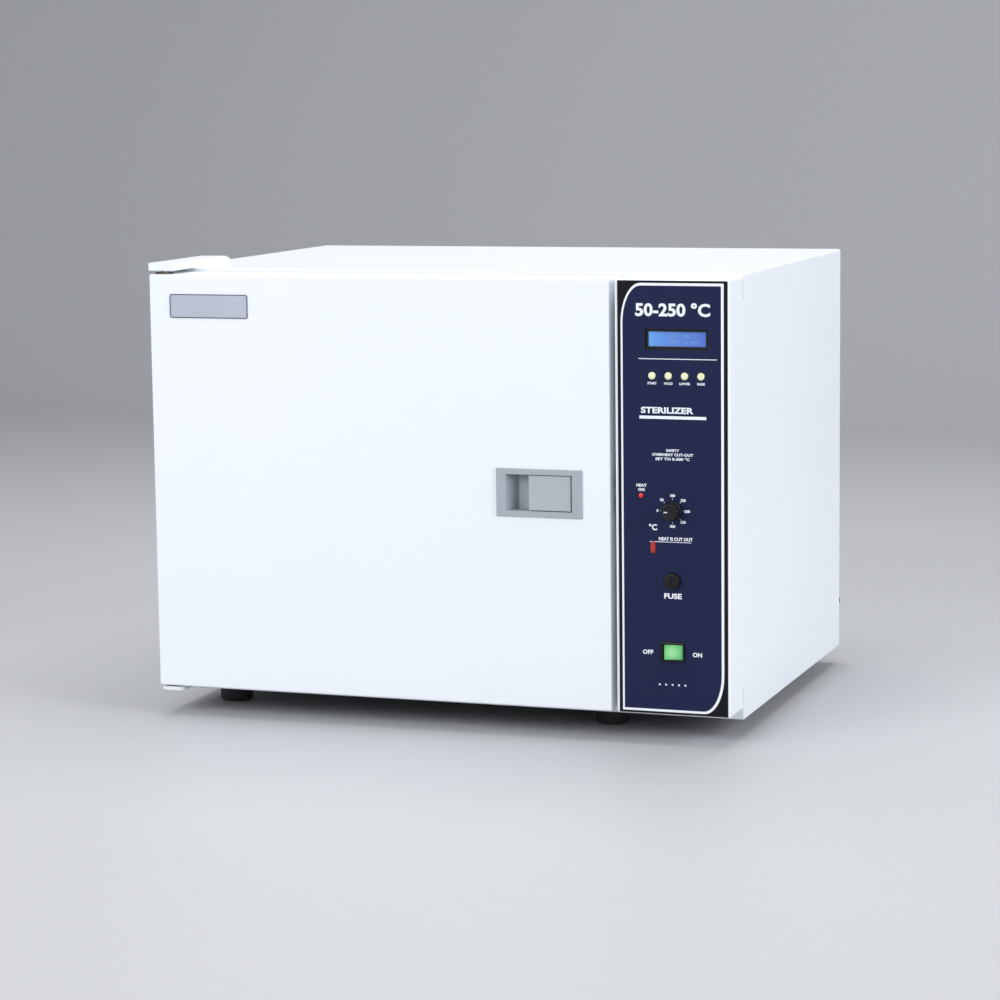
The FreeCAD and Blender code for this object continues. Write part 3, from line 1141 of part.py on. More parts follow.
def make_hinges():
    """Upper arm screwed to the cabinet's top, lower bracket on its face, and a pin in each."""
    arm = Piece("upper_hinge_arm")
    bar = arm.on("YZ", LEFT)
    bar.polygon([
        (FRONT, TOP), (f"{FRONT} + arm_length", TOP), (f"{FRONT} + arm_length", f"{TOP} + arm_end"),
        (f"{FRONT} + arm_length - arm_slope", f"{TOP} + arm_wall"), (FRONT, f"{TOP} + arm_wall"),
    ])
    arm.pad(bar, "arm_width")
    arm.fillet("arm_width / 3", lambda edge, box: along(edge, 2) and near(edge.CenterOfMass.y, box.YMax))
    arm.fillet("bend_radius / 3", lambda edge, box: along(edge, 1) and near(edge.CenterOfMass.z, box.ZMax))
    hole = arm.on("XY", TOP)
    arm.pocket(hole.circle(HINGE_X, HINGE_Y, "pin_radius"), "arm_wall - steel")
    threads = arm.on("XY", TOP)
    for x, y in hinge_screw_places():
        threads.circle(x, y, "screw_radius")
    arm.pocket(threads, "arm_thread")
    bracket = Piece("lower_hinge_arm")
    top = f"{DOOR_BOTTOM} - bush_flange - fit_gap"
    side = bracket.on("YZ", LEFT)
    side.polygon([
        (f"{FRONT} + bracket_inset", top), (CAB, top), (CAB, f"{BASE} + fit_gap"),
        (f"{CAB} - bracket_wall", f"{BASE} + fit_gap"), (f"{CAB} - bracket_wall", f"{top} - bracket_wall"),
        (f"{FRONT} + bracket_inset", f"{top} - bracket_wall"),
    ])
    bracket.pad(side, "bracket_width")
    bracket.fillet("bracket_width / 4", lambda edge, box: along(edge, 2) and near(edge.CenterOfMass.y, box.YMin))
    hole = bracket.on("XY", f"{top} - bracket_wall")
    bracket.pocket(hole.circle(HINGE_X, HINGE_Y, "pin_radius"), "bracket_wall")
    upper = Piece("upper_hinge_pin")
    foot = f"{DOOR_TOP} - pin_reach"
    upper.pad(upper.on("XY", foot).circle(HINGE_X, HINGE_Y, "pin_radius"), f"{TOP} + arm_wall - steel - ({foot})")
    upper.chamfer("pin_radius / 5", lambda edge, box: near(edge.BoundBox.ZMax, box.ZMin))
    lower = Piece("lower_hinge_pin")
    foot = f"{top} - bracket_wall"
    lower.pad(lower.on("XY", foot).circle(HINGE_X, HINGE_Y, "pin_radius"), f"{DOOR_BOTTOM} + pin_reach - ({foot})")
    lower.chamfer("pin_radius / 5", lambda edge, box: near(edge.BoundBox.ZMin, box.ZMax))
    screws = []
    for i, (x, y) in enumerate(hinge_screw_places(), start=1):
        screws.append(screw(f"hinge_screw_{i}", (x, y, f"{TOP} - steel"), PLUS_Z, "steel + arm_thread - fit_gap"))
    group("hinge_screws", screws)


def make_bushes():
    """Two bronze bushes with collars outside the door; the hinge pins turn in them."""
    members = []
    for label, seat, way in (("upper_bush", DOOR_TOP, 1), ("lower_bush", DOOR_BOTTOM, -1)):
        bush = Piece(label, alone=False)
        length = "(pin_reach + steel)"
        bush.pad(bush.on("XY", seat).circle(HINGE_X, HINGE_Y, "bush_radius"), length, -way)
        bush.pad(bush.on("XY", seat).circle(HINGE_X, HINGE_Y, "bush_radius + bush_rim"), "bush_flange", way)
        bore = bush.on("XY", f"{seat} + {way} * bush_flange")
        bore.circle(HINGE_X, HINGE_Y, "pin_radius + running_gap")
        bush.pocket(bore, f"bush_flange + {length}", -way)
        members.append(bush.body)
    group("hinge_bushes", members)


def make_door_shell():
    """Outer door skin: a folded steel tray, open at the back."""
    piece = Piece("door_shell")
    piece.pad(piece.on("XZ", FRONT).rect(LEFT, DOOR_BOTTOM, DOOR_RIGHT, DOOR_TOP), "front_depth - door_gap")
    piece.fillet("door_edge", lambda edge, box: near(edge.BoundBox.YMax, box.YMin)
                 or (along(edge, 1) and (near(edge.CenterOfMass.x, box.XMax) or near(edge.CenterOfMass.x, box.XMin))))
    hollow = piece.on("XZ", f"{FRONT} + door_wall")
    hollow.rect(f"{LEFT} + door_wall", f"{DOOR_BOTTOM} + door_wall", f"{DOOR_RIGHT} - door_wall",
                f"{DOOR_TOP} - door_wall")
    piece.pocket(hollow, "front_depth")
    cut = piece.on("XZ", FRONT)
    margin = "(handle_side / 2)"
    cut.rect(f"{HANDLE_LEFT} + {margin}", f"{HANDLE_LEVEL} - handle_height / 2 + handle_bar / 2",
             f"{HANDLE_RIGHT} - {margin}", f"{HANDLE_LEVEL} + handle_height / 2 - handle_bar / 2")
    piece.pocket(cut, "2 * door_wall")
    slot = piece.on("YZ", f"{DOOR_RIGHT} - 2 * door_wall")
    slot.rect(f"{BOLT_MID} - bolt_depth / 2 - fit_gap", f"{HANDLE_LEVEL} - bolt_height / 2 - fit_gap",
              f"{BOLT_MID} + bolt_depth / 2 + fit_gap", f"{HANDLE_LEVEL} + bolt_height / 2 + fit_gap")
    piece.pocket(slot, "4 * door_wall")
    holes = piece.on("XY", BASE)
    holes.circle(HINGE_X, HINGE_Y, "bush_radius")
    piece.pocket(holes, "cab_height")


def make_door_inner_pan():
    """Stainless inner skin: a flat edge, a channel for the seal and a raised middle."""
    piece = Piece("door_inner_pan")
    back = DOOR_BACK
    front = f"{DOOR_BACK} - pan_wall"
    plate = piece.on("XZ", front)
    plate.rect(f"{LEFT} + door_wall", f"{DOOR_BOTTOM} + door_wall", f"{DOOR_RIGHT} - door_wall",
               f"{DOOR_TOP} - door_wall")
    piece.pad(plate, "pan_wall")
    middle = piece.on("XZ", back)
    middle.rect(f"{BAY_LEFT} + plug_gap", f"{BAY_BOTTOM} + plug_gap", f"{BAY_RIGHT} - plug_gap",
                f"{BAY_TOP} - plug_gap")
    piece.pad(middle, "plug_depth")
    inside = (number(f"{BAY_LEFT} + plug_gap"), number(f"{BAY_RIGHT} - plug_gap"))
    piece.fillet("plug_corner", lambda edge, box: along(edge, 1)
                 and (near(edge.CenterOfMass.x, inside[0]) or near(edge.CenterOfMass.x, inside[1])))
    piece.chamfer("plug_depth / 2", lambda edge, box: near(edge.BoundBox.YMin, box.YMax))
    hollow = piece.on("XZ", front)
    wall = "(plug_gap + 3 * pan_wall)"
    hollow.rect(f"{BAY_LEFT} + {wall}", f"{BAY_BOTTOM} + {wall}", f"{BAY_RIGHT} - {wall}", f"{BAY_TOP} - {wall}")
    piece.pocket(hollow, "plug_depth")
    channel = piece.on("XZ", front)
    seal_ring(channel, "pan_wall + fit_gap")
    piece.pad(channel, "seal_groove", -1)
    groove = piece.on("XZ", back)
    seal_ring(groove, "fit_gap")
    piece.pocket(groove, "seal_groove", -1)


def seal_ring(outline, slack):
    """Two rectangles that bound the seal over the chamber's flange, wider by a slack on each side."""
    middle = "(flange_width / 2)"
    for reach in (f"({middle} + seal_width / 2 + {slack})", f"({middle} - seal_width / 2 - {slack})"):
        outline.rect(f"{BAY_LEFT} - {reach}", f"{BAY_BOTTOM} - {reach}", f"{BAY_RIGHT} + {reach}",
                     f"{BAY_TOP} + {reach}")
    return outline


def make_door_seal():
    """Silicone seal in the pan's channel, crowned towards the chamber flange."""
    piece = Piece("door_seal")
    start = f"{DOOR_BACK} - seal_groove + fit_gap"
    finish = f"{CAB} - chamber_wall - seal_gap"
    piece.pad(seal_ring(piece.on("XZ", start), "0"), f"{finish} - ({start})")
    piece.fillet("seal_width / 5", lambda edge, box: near(edge.BoundBox.YMin, box.YMax))


def make_door_insulation():
    """Mineral wool slab in the door, cut away round the latch."""
    piece = Piece("door_insulation")
    start = f"{FRONT} + door_wall"
    side = "(door_wall + lip / 3)"
    slab = piece.on("XZ", start)
    slab.rect(f"{HINGE_X} + bush_radius + bush_rim", f"{DOOR_BOTTOM} + {side}", f"{DOOR_RIGHT} - {side}",
              f"{DOOR_TOP} - {side}")
    piece.pad(slab, f"{DOOR_BACK} - seal_groove - 2 * pan_wall - ({start})")
    room = piece.on("XZ", start)
    room.rect(f"{HANDLE_LEFT} - fit_gap", f"{HANDLE_LEVEL} - handle_height / 2", DOOR_RIGHT,
              f"{HANDLE_LEVEL} + handle_height / 2")
    piece.pocket(room, "front_depth")


def make_handle_cup():
    """Moulded latch housing: a flat frame on the door and a cup with a sloped finger recess."""
    piece = Piece("handle_cup")
    half = "handle_height / 2"
    frame = piece.on("XZ", HANDLE_FACE)
    frame.rect(HANDLE_LEFT, f"{HANDLE_LEVEL} - {half}", HANDLE_RIGHT, f"{HANDLE_LEVEL} + {half}")
    piece.pad(frame, "handle_rim")
    piece.fillet("handle_rim / 3", lambda edge, box: near(edge.BoundBox.YMax, box.YMin))
    margin = "(handle_side / 2 + fit_gap)"
    rise = f"({half} - handle_bar / 2 - fit_gap)"
    cup = piece.on("XZ", FRONT)
    cup.rect(f"{HANDLE_LEFT} + {margin}", f"{HANDLE_LEVEL} - {rise}", f"{HANDLE_RIGHT} - {margin}",
             f"{HANDLE_LEVEL} + {rise}")
    piece.pad(cup, "cup_depth + cup_wall")
    recess = piece.on("XY", f"{HANDLE_LEVEL} - {RECESS_HALF}")
    floor = f"{FRONT} + cup_depth"
    recess.polygon([
        (RECESS_LEFT, HANDLE_FACE), (RECESS_RIGHT, HANDLE_FACE), (RECESS_RIGHT, floor),
        (f"{RECESS_LEFT} + scoop", floor),
    ])
    piece.pocket(recess, f"2 * {RECESS_HALF}")
    slot = piece.on("XZ", f"{FRONT} + cup_depth - steel")
    slot.rect(f"{PIVOT_X} - crank_reach / 2", f"{HANDLE_LEVEL} - crank_wall / 2 - fit_gap",
              f"{PIVOT_X} + crank_finger + fit_gap", f"{HANDLE_LEVEL} + crank_wall / 2 + fit_gap")
    piece.pocket(slot, "cup_wall + 2 * steel")
    pin = piece.on("XY", f"{HANDLE_LEVEL} - {rise}")
    pin.circle(PIVOT_X, PIVOT_Y, "paddle_pin")
    piece.pocket(pin, f"2 * {rise}")


def make_handle_paddle():
    """Latch paddle: a plate to pull, a barrel on the pin and a crank that draws the bolt."""
    piece = Piece("handle_paddle")
    half = f"({RECESS_HALF} - paddle_gap)"
    face = f"{HANDLE_FACE} + paddle_sink"
    left = f"{RECESS_LEFT} + finger_gap"
    plate = piece.on("XZ", face)
    plate.rect(left, f"{HANDLE_LEVEL} - {half}", f"{PIVOT_X} + paddle_end", f"{HANDLE_LEVEL} + {half}")
    piece.pad(plate, "paddle_wall")
    piece.fillet("paddle_wall / 4", lambda edge, box: along(edge, 2) and near(edge.CenterOfMass.y, box.YMin))
    barrel = piece.on("XY", f"{HANDLE_LEVEL} - {half}")
    piece.pad(barrel.circle(PIVOT_X, PIVOT_Y, "barrel_radius"), f"2 * {half}")
    low = f"{HANDLE_LEVEL} - crank_wall / 2"
    arm = piece.on("XY", low)
    narrow = "crank_finger * 0.8"
    arm.rect(f"{PIVOT_X} - {narrow}", PIVOT_Y, f"{PIVOT_X} + {narrow}", BOLT_MID)
    piece.pad(arm, "crank_wall")
    piece.pad(piece.on("XY", low).circle(PIVOT_X, BOLT_MID, "crank_finger"), "crank_wall")
    hole = piece.on("XY", f"{HANDLE_LEVEL} - {half}")
    hole.circle(PIVOT_X, PIVOT_Y, "paddle_pin + running_gap")
    piece.pocket(hole, f"2 * {half}")
    pin = Piece("paddle_pin")
    reach = "(handle_height / 2 - handle_bar / 2 - fit_gap)"
    shank = pin.on("XY", f"{HANDLE_LEVEL} - {reach}")
    pin.pad(shank.circle(PIVOT_X, PIVOT_Y, "paddle_pin"), f"2 * {reach}")


def make_latch_bolt():
    """Spring bolt: a square bar with a slot for the crank and a nose bevelled at the back."""
    bolt = Piece("latch_bolt")
    low_y = f"{BOLT_MID} - bolt_depth / 2"
    high_y = f"{BOLT_MID} + bolt_depth / 2"
    tip = f"{DOOR_RIGHT} + bolt_reach"
    tail = f"{PIVOT_X} - bolt_tail"
    low = f"{HANDLE_LEVEL} - bolt_height / 2"
    plan = bolt.on("XY", low)
    plan.polygon([
        (tail, low_y), (tip, low_y), (tip, f"{BOLT_MID}"), (f"{tip} - bolt_bevel", high_y), (tail, high_y),
    ])
    bolt.pad(plan, "bolt_height")
    slot = bolt.on("XY", f"{HANDLE_LEVEL} - crank_wall / 2 - fit_gap")
    slot.rect(f"{PIVOT_X} - crank_finger - 2 * fit_gap", f"{low_y} - fit_gap",
              f"{PIVOT_X} + 2 * crank_finger", f"{high_y} + fit_gap")
    bolt.pocket(slot, "crank_wall + 2 * fit_gap")
    guide = Piece("bolt_guide")
    start = f"{DOOR_RIGHT} - door_wall - guide_length"
    outer = guide.on("YZ", start)
    wall = "(guide_wall + fit_gap)"
    outer.rect(f"{low_y} - {wall}", f"{low} - {wall}", f"{high_y} + {wall}", f"{low} + bolt_height + {wall}")
    guide.pad(outer, "guide_length")
    plate = guide.on("YZ", f"{DOOR_RIGHT} - door_wall - guide_wall")
    plate.rect(f"{low_y} - {wall}", f"{low} - lip * 0.75", f"{high_y} + {wall}", f"{low} + bolt_height + lip * 0.75")
    guide.pad(plate, "guide_wall")
    way = guide.on("YZ", start)
    way.rect(f"{low_y} - fit_gap", f"{low} - fit_gap", f"{high_y} + fit_gap", f"{low} + bolt_height + fit_gap")
    guide.pocket(way, "guide_length")


def make_strike_plate():
    """Strike on the control box's side, with a low rounded ridge in front of the bolt's nose."""
    piece = Piece("strike_plate")
    start = f"{BOLT_MID} - strike_depth / 2"
    plate = piece.on("YZ", f"{BOX_LEFT} - strike_wall")
    plate.rect(start, f"{HANDLE_LEVEL} - strike_height / 2", f"{start} + strike_depth",
               f"{HANDLE_LEVEL} + strike_height / 2")
    piece.pad(plate, "strike_wall")
    ridge = piece.on("XY", f"{HANDLE_LEVEL} - bolt_height / 2")
    y = f"{BOLT_MID} - bolt_depth"
    x = f"{BOX_LEFT} - strike_wall"
    ridge.polygon([(x, f"{y} - 2 * strike_wall"), (f"{x} - strike_ridge", f"{y} - strike_wall / 2"),
                   (f"{x} - strike_ridge", f"{y} + strike_wall / 2"), (x, f"{y} + 2 * strike_wall")])
    piece.pad(ridge, "bolt_height")


def make_badge_plate():
    """Plain metal plate at the door's top left."""
    piece = Piece("badge_plate")
    left = f"{LEFT} + badge_left"
    high = f"{DOOR_TOP} - badge_drop"
    plate = piece.on("XZ", FRONT)
    plate.rect(left, f"{high} - badge_height", f"{left} + badge_width", high)
    piece.pad(plate, "badge_wall", -1)
    piece.fillet("badge_corner", lambda edge, box: along(edge, 1))


make_outer_casing()
make_base_pan()
make_back_panel()
make_front_frame()
make_divider_wall()
make_feet()
make_screws()
make_rear_bumpers()
make_chamber_liner()
make_chamber_insulation()
make_floor_plate()
make_heating_element()
make_element_bracket()
make_runner("left_runner", BAY_LEFT, "+")
make_runner("right_runner", BAY_RIGHT, "-")
make_shelf("lower_shelf", 0)
make_shelf("upper_shelf", 2)
make_exhaust_tube()
make_sensor("temperature_probe", "probe_shift", "probe_radius")
make_sensor("limit_bulb", "bulb_shift", "bulb_radius")
make_control_box()
make_control_overlay()
make_display()
make_control_board()
for key, step in enumerate((-1.5, -0.5, 0.5, 1.5), start=1):
    make_key(f"key_{key}", step)
make_lamps()
make_thermostat()
make_fuse()
make_switch()
make_power_parts()
make_hinges()
make_bushes()
make_door_shell()
make_door_inner_pan()
make_door_seal()
make_door_insulation()
make_handle_cup()
make_handle_paddle()
make_latch_bolt()
make_strike_plate()
make_badge_plate()

doc.recompute()
faults = []
for item in doc.Objects:
    if "Invalid" in item.State or "Error" in item.State:
        faults.append(f"{item.Label}: {item.State}")
for piece in PIECES:
    if piece.Shape.isNull() or not piece.Shape.isValid() or not piece.Shape.Solids:
        faults.append(f"{piece.Label}: no valid solid")
if faults:
    raise ValueError("; ".join(faults))
for piece in PIECES:
    piece.Shape.exportStep(f"parts/{piece.Label}.step")
    print(f"{piece.Label}: {len(piece.Shape.Solids)} solid, {piece.Shape.Volume / 1000:.1f} cm3")
print(len(PIECES), "nodes")
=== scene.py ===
# %% [markdown]
# A bench-top hot-air sterilizer, dressed for its portrait. The steel boxes, the door, the hinges
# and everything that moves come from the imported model, at their real size and place. This script
# gives every one of them a finish, and adds what is too fine or too soft for a construction
# model: the printed panel, moulded caps and lenses, the door seal, and the light to see them by.

# %% Load the fixed frame and keep its size
import json
import math

import bmesh
import bpy
import numpy as np
from mathutils import Matrix, Vector


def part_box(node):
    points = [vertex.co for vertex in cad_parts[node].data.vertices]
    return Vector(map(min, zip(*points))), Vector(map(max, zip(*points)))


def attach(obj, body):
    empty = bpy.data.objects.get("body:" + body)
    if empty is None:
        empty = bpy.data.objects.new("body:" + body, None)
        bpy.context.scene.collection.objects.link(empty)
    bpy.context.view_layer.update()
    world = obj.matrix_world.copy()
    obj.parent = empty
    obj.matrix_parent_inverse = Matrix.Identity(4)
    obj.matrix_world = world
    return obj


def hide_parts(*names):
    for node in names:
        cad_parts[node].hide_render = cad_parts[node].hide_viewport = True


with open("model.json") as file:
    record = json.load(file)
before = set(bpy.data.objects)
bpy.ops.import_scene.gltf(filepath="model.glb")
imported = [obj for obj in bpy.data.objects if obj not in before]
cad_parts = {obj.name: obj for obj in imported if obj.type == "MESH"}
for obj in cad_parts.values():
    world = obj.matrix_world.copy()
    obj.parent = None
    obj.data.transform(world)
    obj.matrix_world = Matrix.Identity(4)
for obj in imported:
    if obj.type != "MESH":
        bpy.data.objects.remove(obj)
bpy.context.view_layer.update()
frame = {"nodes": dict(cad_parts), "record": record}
MM = 0.001
NODES = frame["nodes"]

# %% [markdown]
# Everything is placed from a few corners of the frame. The front of the door and of the control
# box lie in one plane. Places on the front are told as a maker would: millimetres from the
# cabinet's left side, and millimetres above the cabinet's underside.

# %% Corners that the rest is placed from
case_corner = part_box("outer_casing")[0]
LEFT, UNDERSIDE = case_corner.x, case_corner.z
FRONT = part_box("door_shell")[0].y
PRINT_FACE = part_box("control_overlay")[0].y


def middle(node):
    """The middle of a node's box."""
    low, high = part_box(node)
    return (low + high) / 2


def on_plane(node, y=PRINT_FACE):
    """The middle of a node, moved to lie at a given y."""
    place = middle(node)
    return (place.x, y, place.z)


def on_front(across, up, y=FRONT):
    """A place on the front, from millimetres across and up, at a given y in metres."""
    return Vector((LEFT + across * MM, y, UNDERSIDE + up * MM))


def across_and_up(node):
    """The other way round: the middle of a node in millimetres across and up the front."""
    place = middle(node)
    return (place.x - LEFT) / MM, (place.z - UNDERSIDE) / MM


def half_size(node):
    """Half the width and half the height of a node, in millimetres."""
    low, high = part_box(node)
    return (high.x - low.x) / 2 / MM, (high.z - low.z) / 2 / MM


def depths(node):
    """How far a node's front and back lie behind the printed face, in millimetres."""
    low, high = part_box(node)
    return (low.y - PRINT_FACE) / MM, (high.y - PRINT_FACE) / MM


print("front plane at y =", round(FRONT, 4), "m, underside at z =", round(UNDERSIDE, 4), "m")

# %% [markdown]
# The camera stands where the photographer stood: a long lens, a little to the right of the front
# and just above the cabinet's top. Its place and angles come from matching the straight edges of
# the cabinet in the picture to the same edges of the model.

# %% The camera
LENS_MM = 109.36
SENSOR_MM = 36.0
YAW, PITCH, ROLL = (math.radians(angle) for angle in (19.41, 7.89, -0.70))
STANDPOINT_MM = (1486.7, -3055.1, 685.9)


def camera_axes(yaw, pitch, roll):
    """Right, up and forward: forward is turned left by yaw and down by pitch, and then right and
    up are turned about it by roll."""
    forward = Vector((-math.sin(yaw) * math.cos(pitch), math.cos(yaw) * math.cos(pitch), -math.sin(pitch)))
    level = Vector((math.cos(yaw), math.sin(yaw), 0))
    upright = level.cross(forward)
    right = math.cos(roll) * level + math.sin(roll) * upright
    up = math.cos(roll) * upright - math.sin(roll) * level
    return right, up, forward


camera_data = bpy.data.cameras.new("photographer")
camera_data.lens = LENS_MM
camera_data.sensor_width = SENSOR_MM
camera_data.clip_end = 50
camera = bpy.data.objects.new("photographer", camera_data)
bpy.context.scene.collection.objects.link(camera)
right, up, forward = camera_axes(YAW, PITCH, ROLL)
standpoint = Vector((LEFT, FRONT, UNDERSIDE)) + Vector(STANDPOINT_MM) * MM
stance = Matrix((right, up, -forward)).transposed()
camera.matrix_world = Matrix.Translation(standpoint) @ stance.to_4x4()
bpy.context.scene.camera = camera
print("camera", [round(value, 3) for value in camera.matrix_world.translation])

# %% [markdown]
# A piece of geometry here is a grid of points: rows of a profile carried along something. One
# function turns such a grid into a mesh, and can close it in either direction and put a lid on
# its first and last row. Grids are computed as whole arrays, so a hundred points cost one line.

# %% From a grid of points to a piece
def grid_faces(rows, columns, close_rows, close_columns):
    """Quads of a grid as index rows: each cell joins a point, its neighbour in the row, and the
    two points below them. A closed direction wraps round."""
    i, j = np.meshgrid(np.arange(rows if close_rows else rows - 1),
                       np.arange(columns if close_columns else columns - 1), indexing="ij")
    below, beside = (i + 1) % rows, (j + 1) % columns
    cells = (i * columns + j, i * columns + beside, below * columns + beside, below * columns + j)
    return np.stack(cells, axis=-1).reshape(-1, 4)


def make_piece(name, points, faces, smooth=True):
    """An object whose mesh has these points and faces, with shared corners welded and its
    normals made to point out."""
    mesh = bpy.data.meshes.new(name)
    mesh.from_pydata(points.reshape(-1, 3).tolist(), [], [list(face) for face in faces])
    mesh.validate()
    piece = bpy.data.objects.new(name, mesh)
    bpy.context.scene.collection.objects.link(piece)
    tidy_mesh(mesh)
    if smooth:
        mesh.shade_smooth()
        mesh.set_sharp_from_angle(angle=math.radians(38))
    return piece


def tidy_mesh(mesh):
    """Welds doubled points and turns faces outwards."""
    work = bmesh.new()
    work.from_mesh(mesh)
    bmesh.ops.remove_doubles(work, verts=work.verts, dist=1e-7)
    bmesh.ops.dissolve_degenerate(work, dist=1e-8, edges=work.edges)
    bmesh.ops.recalc_face_normals(work, faces=work.faces)
    work.to_mesh(mesh)
    work.free()


def grid_piece(name, grid, close_rows=False, close_columns=True, lids=(False, False)):
    """A piece from a grid of shape rows, columns, 3. A lid is one flat face on an end row."""
    rows, columns, _ = grid.shape
    faces = grid_faces(rows, columns, close_rows, close_columns).tolist()
    if lids[0]:
        faces.append(list(range(columns)))
    if lids[1]:
        faces.append(list(range((rows - 1) * columns, rows * columns)))
    return make_piece(name, grid, faces)


print("grid of 3 by 4 closed round:", len(grid_faces(3, 4, False, True)), "quads")

# %% [markdown]
# Most small moulded things on this panel are one of two kinds. A turned thing, such as a lamp or
# a cap, is a profile of radius and depth spun about an axis that points at the viewer. A boxy
# thing is a stack of rounded rectangles. Both are the same idea: a closed ring that changes its
# size as it goes deeper.

# %% Rings that become caps and frames
CORNER_STEPS = 7


def turned(name, centre, profile, steps):
    """Spins a profile about an axis along y. A point at turn a and profile row (radius, depth)
    is centre + (radius cos a, depth, radius sin a), in millimetres from the centre."""
    radius, depth = np.array(profile, float).T[:, :, None] * MM
    turn = np.linspace(0, 2 * np.pi, steps, endpoint=False)[None, :]
    grid = np.stack([radius * np.cos(turn), depth + 0 * turn, radius * np.sin(turn)], axis=-1)
    return grid_piece(name, grid + np.array(centre), lids=(True, True))


def rounded_ring(half_width, half_height, corner):
    """A rounded rectangle about nothing: each corner is a quarter circle of the corner's radius,
    whose middle stands that radius in from both sides. Points run anticlockwise."""
    corner = max(min(corner, half_width, half_height), 1e-4)
    turn = np.linspace(0, np.pi / 2, CORNER_STEPS)
    quarter = np.arange(4)[:, None] * np.pi / 2 + turn[None, :]
    side_x = np.array([1, -1, -1, 1])[:, None] * (half_width - corner)
    side_z = np.array([1, 1, -1, -1])[:, None] * (half_height - corner)
    ring = np.stack([side_x + corner * np.cos(quarter), side_z + corner * np.sin(quarter)], -1)
    return ring.reshape(-1, 2)


def boxy(name, centre, layers, hollow=False):
    """A stack of rounded rectangles. Each layer is (half width, half height, corner, depth), in
    millimetres. A hollow stack has no lids: its last layer joins its first, as in a frame."""
    rings = []
    for half_width, half_height, corner, depth in layers:
        ring = rounded_ring(half_width, half_height, corner)
        rings.append(np.stack([ring[:, 0], np.full(len(ring), depth), ring[:, 1]], -1))
    grid = np.array(rings) * MM + np.array(centre)
    return grid_piece(name, grid, close_rows=hollow, lids=(not hollow, not hollow))


def arc_rows(radius_from, depth_from, radius_to, depth_to, steps):
    """Profile rows along a quarter of an ellipse that starts along the depth and ends across."""
    across, along = radius_from - radius_to, depth_to - depth_from
    return [(radius_to + across * math.cos(a), depth_from + along * math.sin(a))
            for a in np.linspace(0, np.pi / 2, steps)]


print("one rounded ring has", len(rounded_ring(10, 5, 1)), "points")

# %% [markdown]
# Finishes are node trees. To keep them readable, a small helper makes a node, sets its values by
# name and links what is given as a socket. Effects that several finishes share are node groups
# with named inputs: a group only hands out colours, masks, roughness and heights that change over
# the surface, and the shader itself stays in each material.

# %% A short hand for node trees
class Tree:
    """Makes and links nodes in one node tree."""

    def __init__(self, tree):
        self.tree = tree

    def add(self, kind, inputs=None, **settings):
        """A node of a kind, with its settings, and its inputs by name or number."""
        node = self.tree.nodes.new("ShaderNode" + kind)
        for key, value in settings.items():
            setattr(node, key, value)
        for key, value in (inputs or {}).items():
            if isinstance(value, bpy.types.NodeSocket):
                self.link(value, node.inputs[key])
            else:
                node.inputs[key].default_value = value
        return node

    def link(self, source, target):
        """Joins an output to an input."""
        self.tree.links.new(source, target)

    def sums(self, operation, first, second=0.0, clamp=False):
        """One step of arithmetic on two numbers or sockets."""
        node = self.add("Math", {0: first, 1: second}, operation=operation, use_clamp=clamp)
        return node.outputs[0]

    def blend(self, factor, first, second):
        """A mix of two colours or colour sockets."""
        node = self.add("Mix", {0: factor, 6: first, 7: second}, data_type="RGBA")
        return node.outputs[2]

    def place(self):
        """Where a point lies on the object, in metres."""
        return self.add("TexCoord").outputs["Object"]

    def noise(self, vector, scale, detail=2.0, roughness=0.5):
        """Smooth noise from 0 to 1; scale counts its grains in a metre."""
        values = {"Vector": vector, "Scale": scale, "Detail": detail, "Roughness": roughness}
        return self.add("TexNoise", values).outputs["Fac"]

    def spread(self, value, low, high):
        """A value from 0 to 1 moved to lie from low to high."""
        node = self.add("MapRange", {"Value": value, "To Min": low, "To Max": high})
        return node.outputs["Result"]


def shader_group(name, inputs, outputs):
    """A new node group. Inputs are name: default; colours are given as four numbers."""
    group = bpy.data.node_groups.new(name, "ShaderNodeTree")
    for label, default in inputs.items():
        kind = {3: "NodeSocketVector", 4: "NodeSocketColor"}.get(np.size(default), "NodeSocketFloat")
        group.interface.new_socket(label, in_out="INPUT", socket_type=kind).default_value = default
    for label, kind in outputs.items():
        group.interface.new_socket(label, in_out="OUTPUT", socket_type="NodeSocket" + kind)
    entry, leave = group.nodes.new("NodeGroupInput"), group.nodes.new("NodeGroupOutput")
    return Tree(group), entry.outputs, leave.inputs


def rgb(red, green, blue):
    """A colour with full cover."""
    return (red, green, blue, 1.0)


# %% [markdown]
# Powder coat is baked plastic powder. Seen close it is never quite flat: it has an orange peel of
# grains about a millimetre wide and a tenth of a hair deep, and its white drifts by a percent or
# two over a large sheet. The group makes both from two noises.

# %% Shared effects: powder coat
coat, have, give = shader_group(
    "powder coat", {"Colour": rgb(0.9, 0.9, 0.9), "Shade": rgb(0.85, 0.85, 0.85), "Grain": 700.0,
                    "Smooth": 0.3, "Rough": 0.42},
    {"Colour": "Color", "Roughness": "Float", "Height": "Float"})
drift = coat.noise(coat.place(), 5.0, 3.0)
peel = coat.noise(coat.place(), have["Grain"], 1.0, 0.4)
coat.link(coat.blend(drift, have["Colour"], have["Shade"]), give["Colour"])
coat.link(coat.spread(coat.noise(coat.place(), 40.0), have["Smooth"], have["Rough"]), give["Roughness"])
coat.link(peel, give["Height"])
print("group", coat.tree.name)

# %% [markdown]
# Moulded plastic copies the fine spark-eroded grain of its mould. Brushed steel has hair lines,
# which are noise stretched a hundredfold along the brushing. Pressed wool and rubber are a soft
# noise with a finer one on top. Each is a group with the scale as an input.

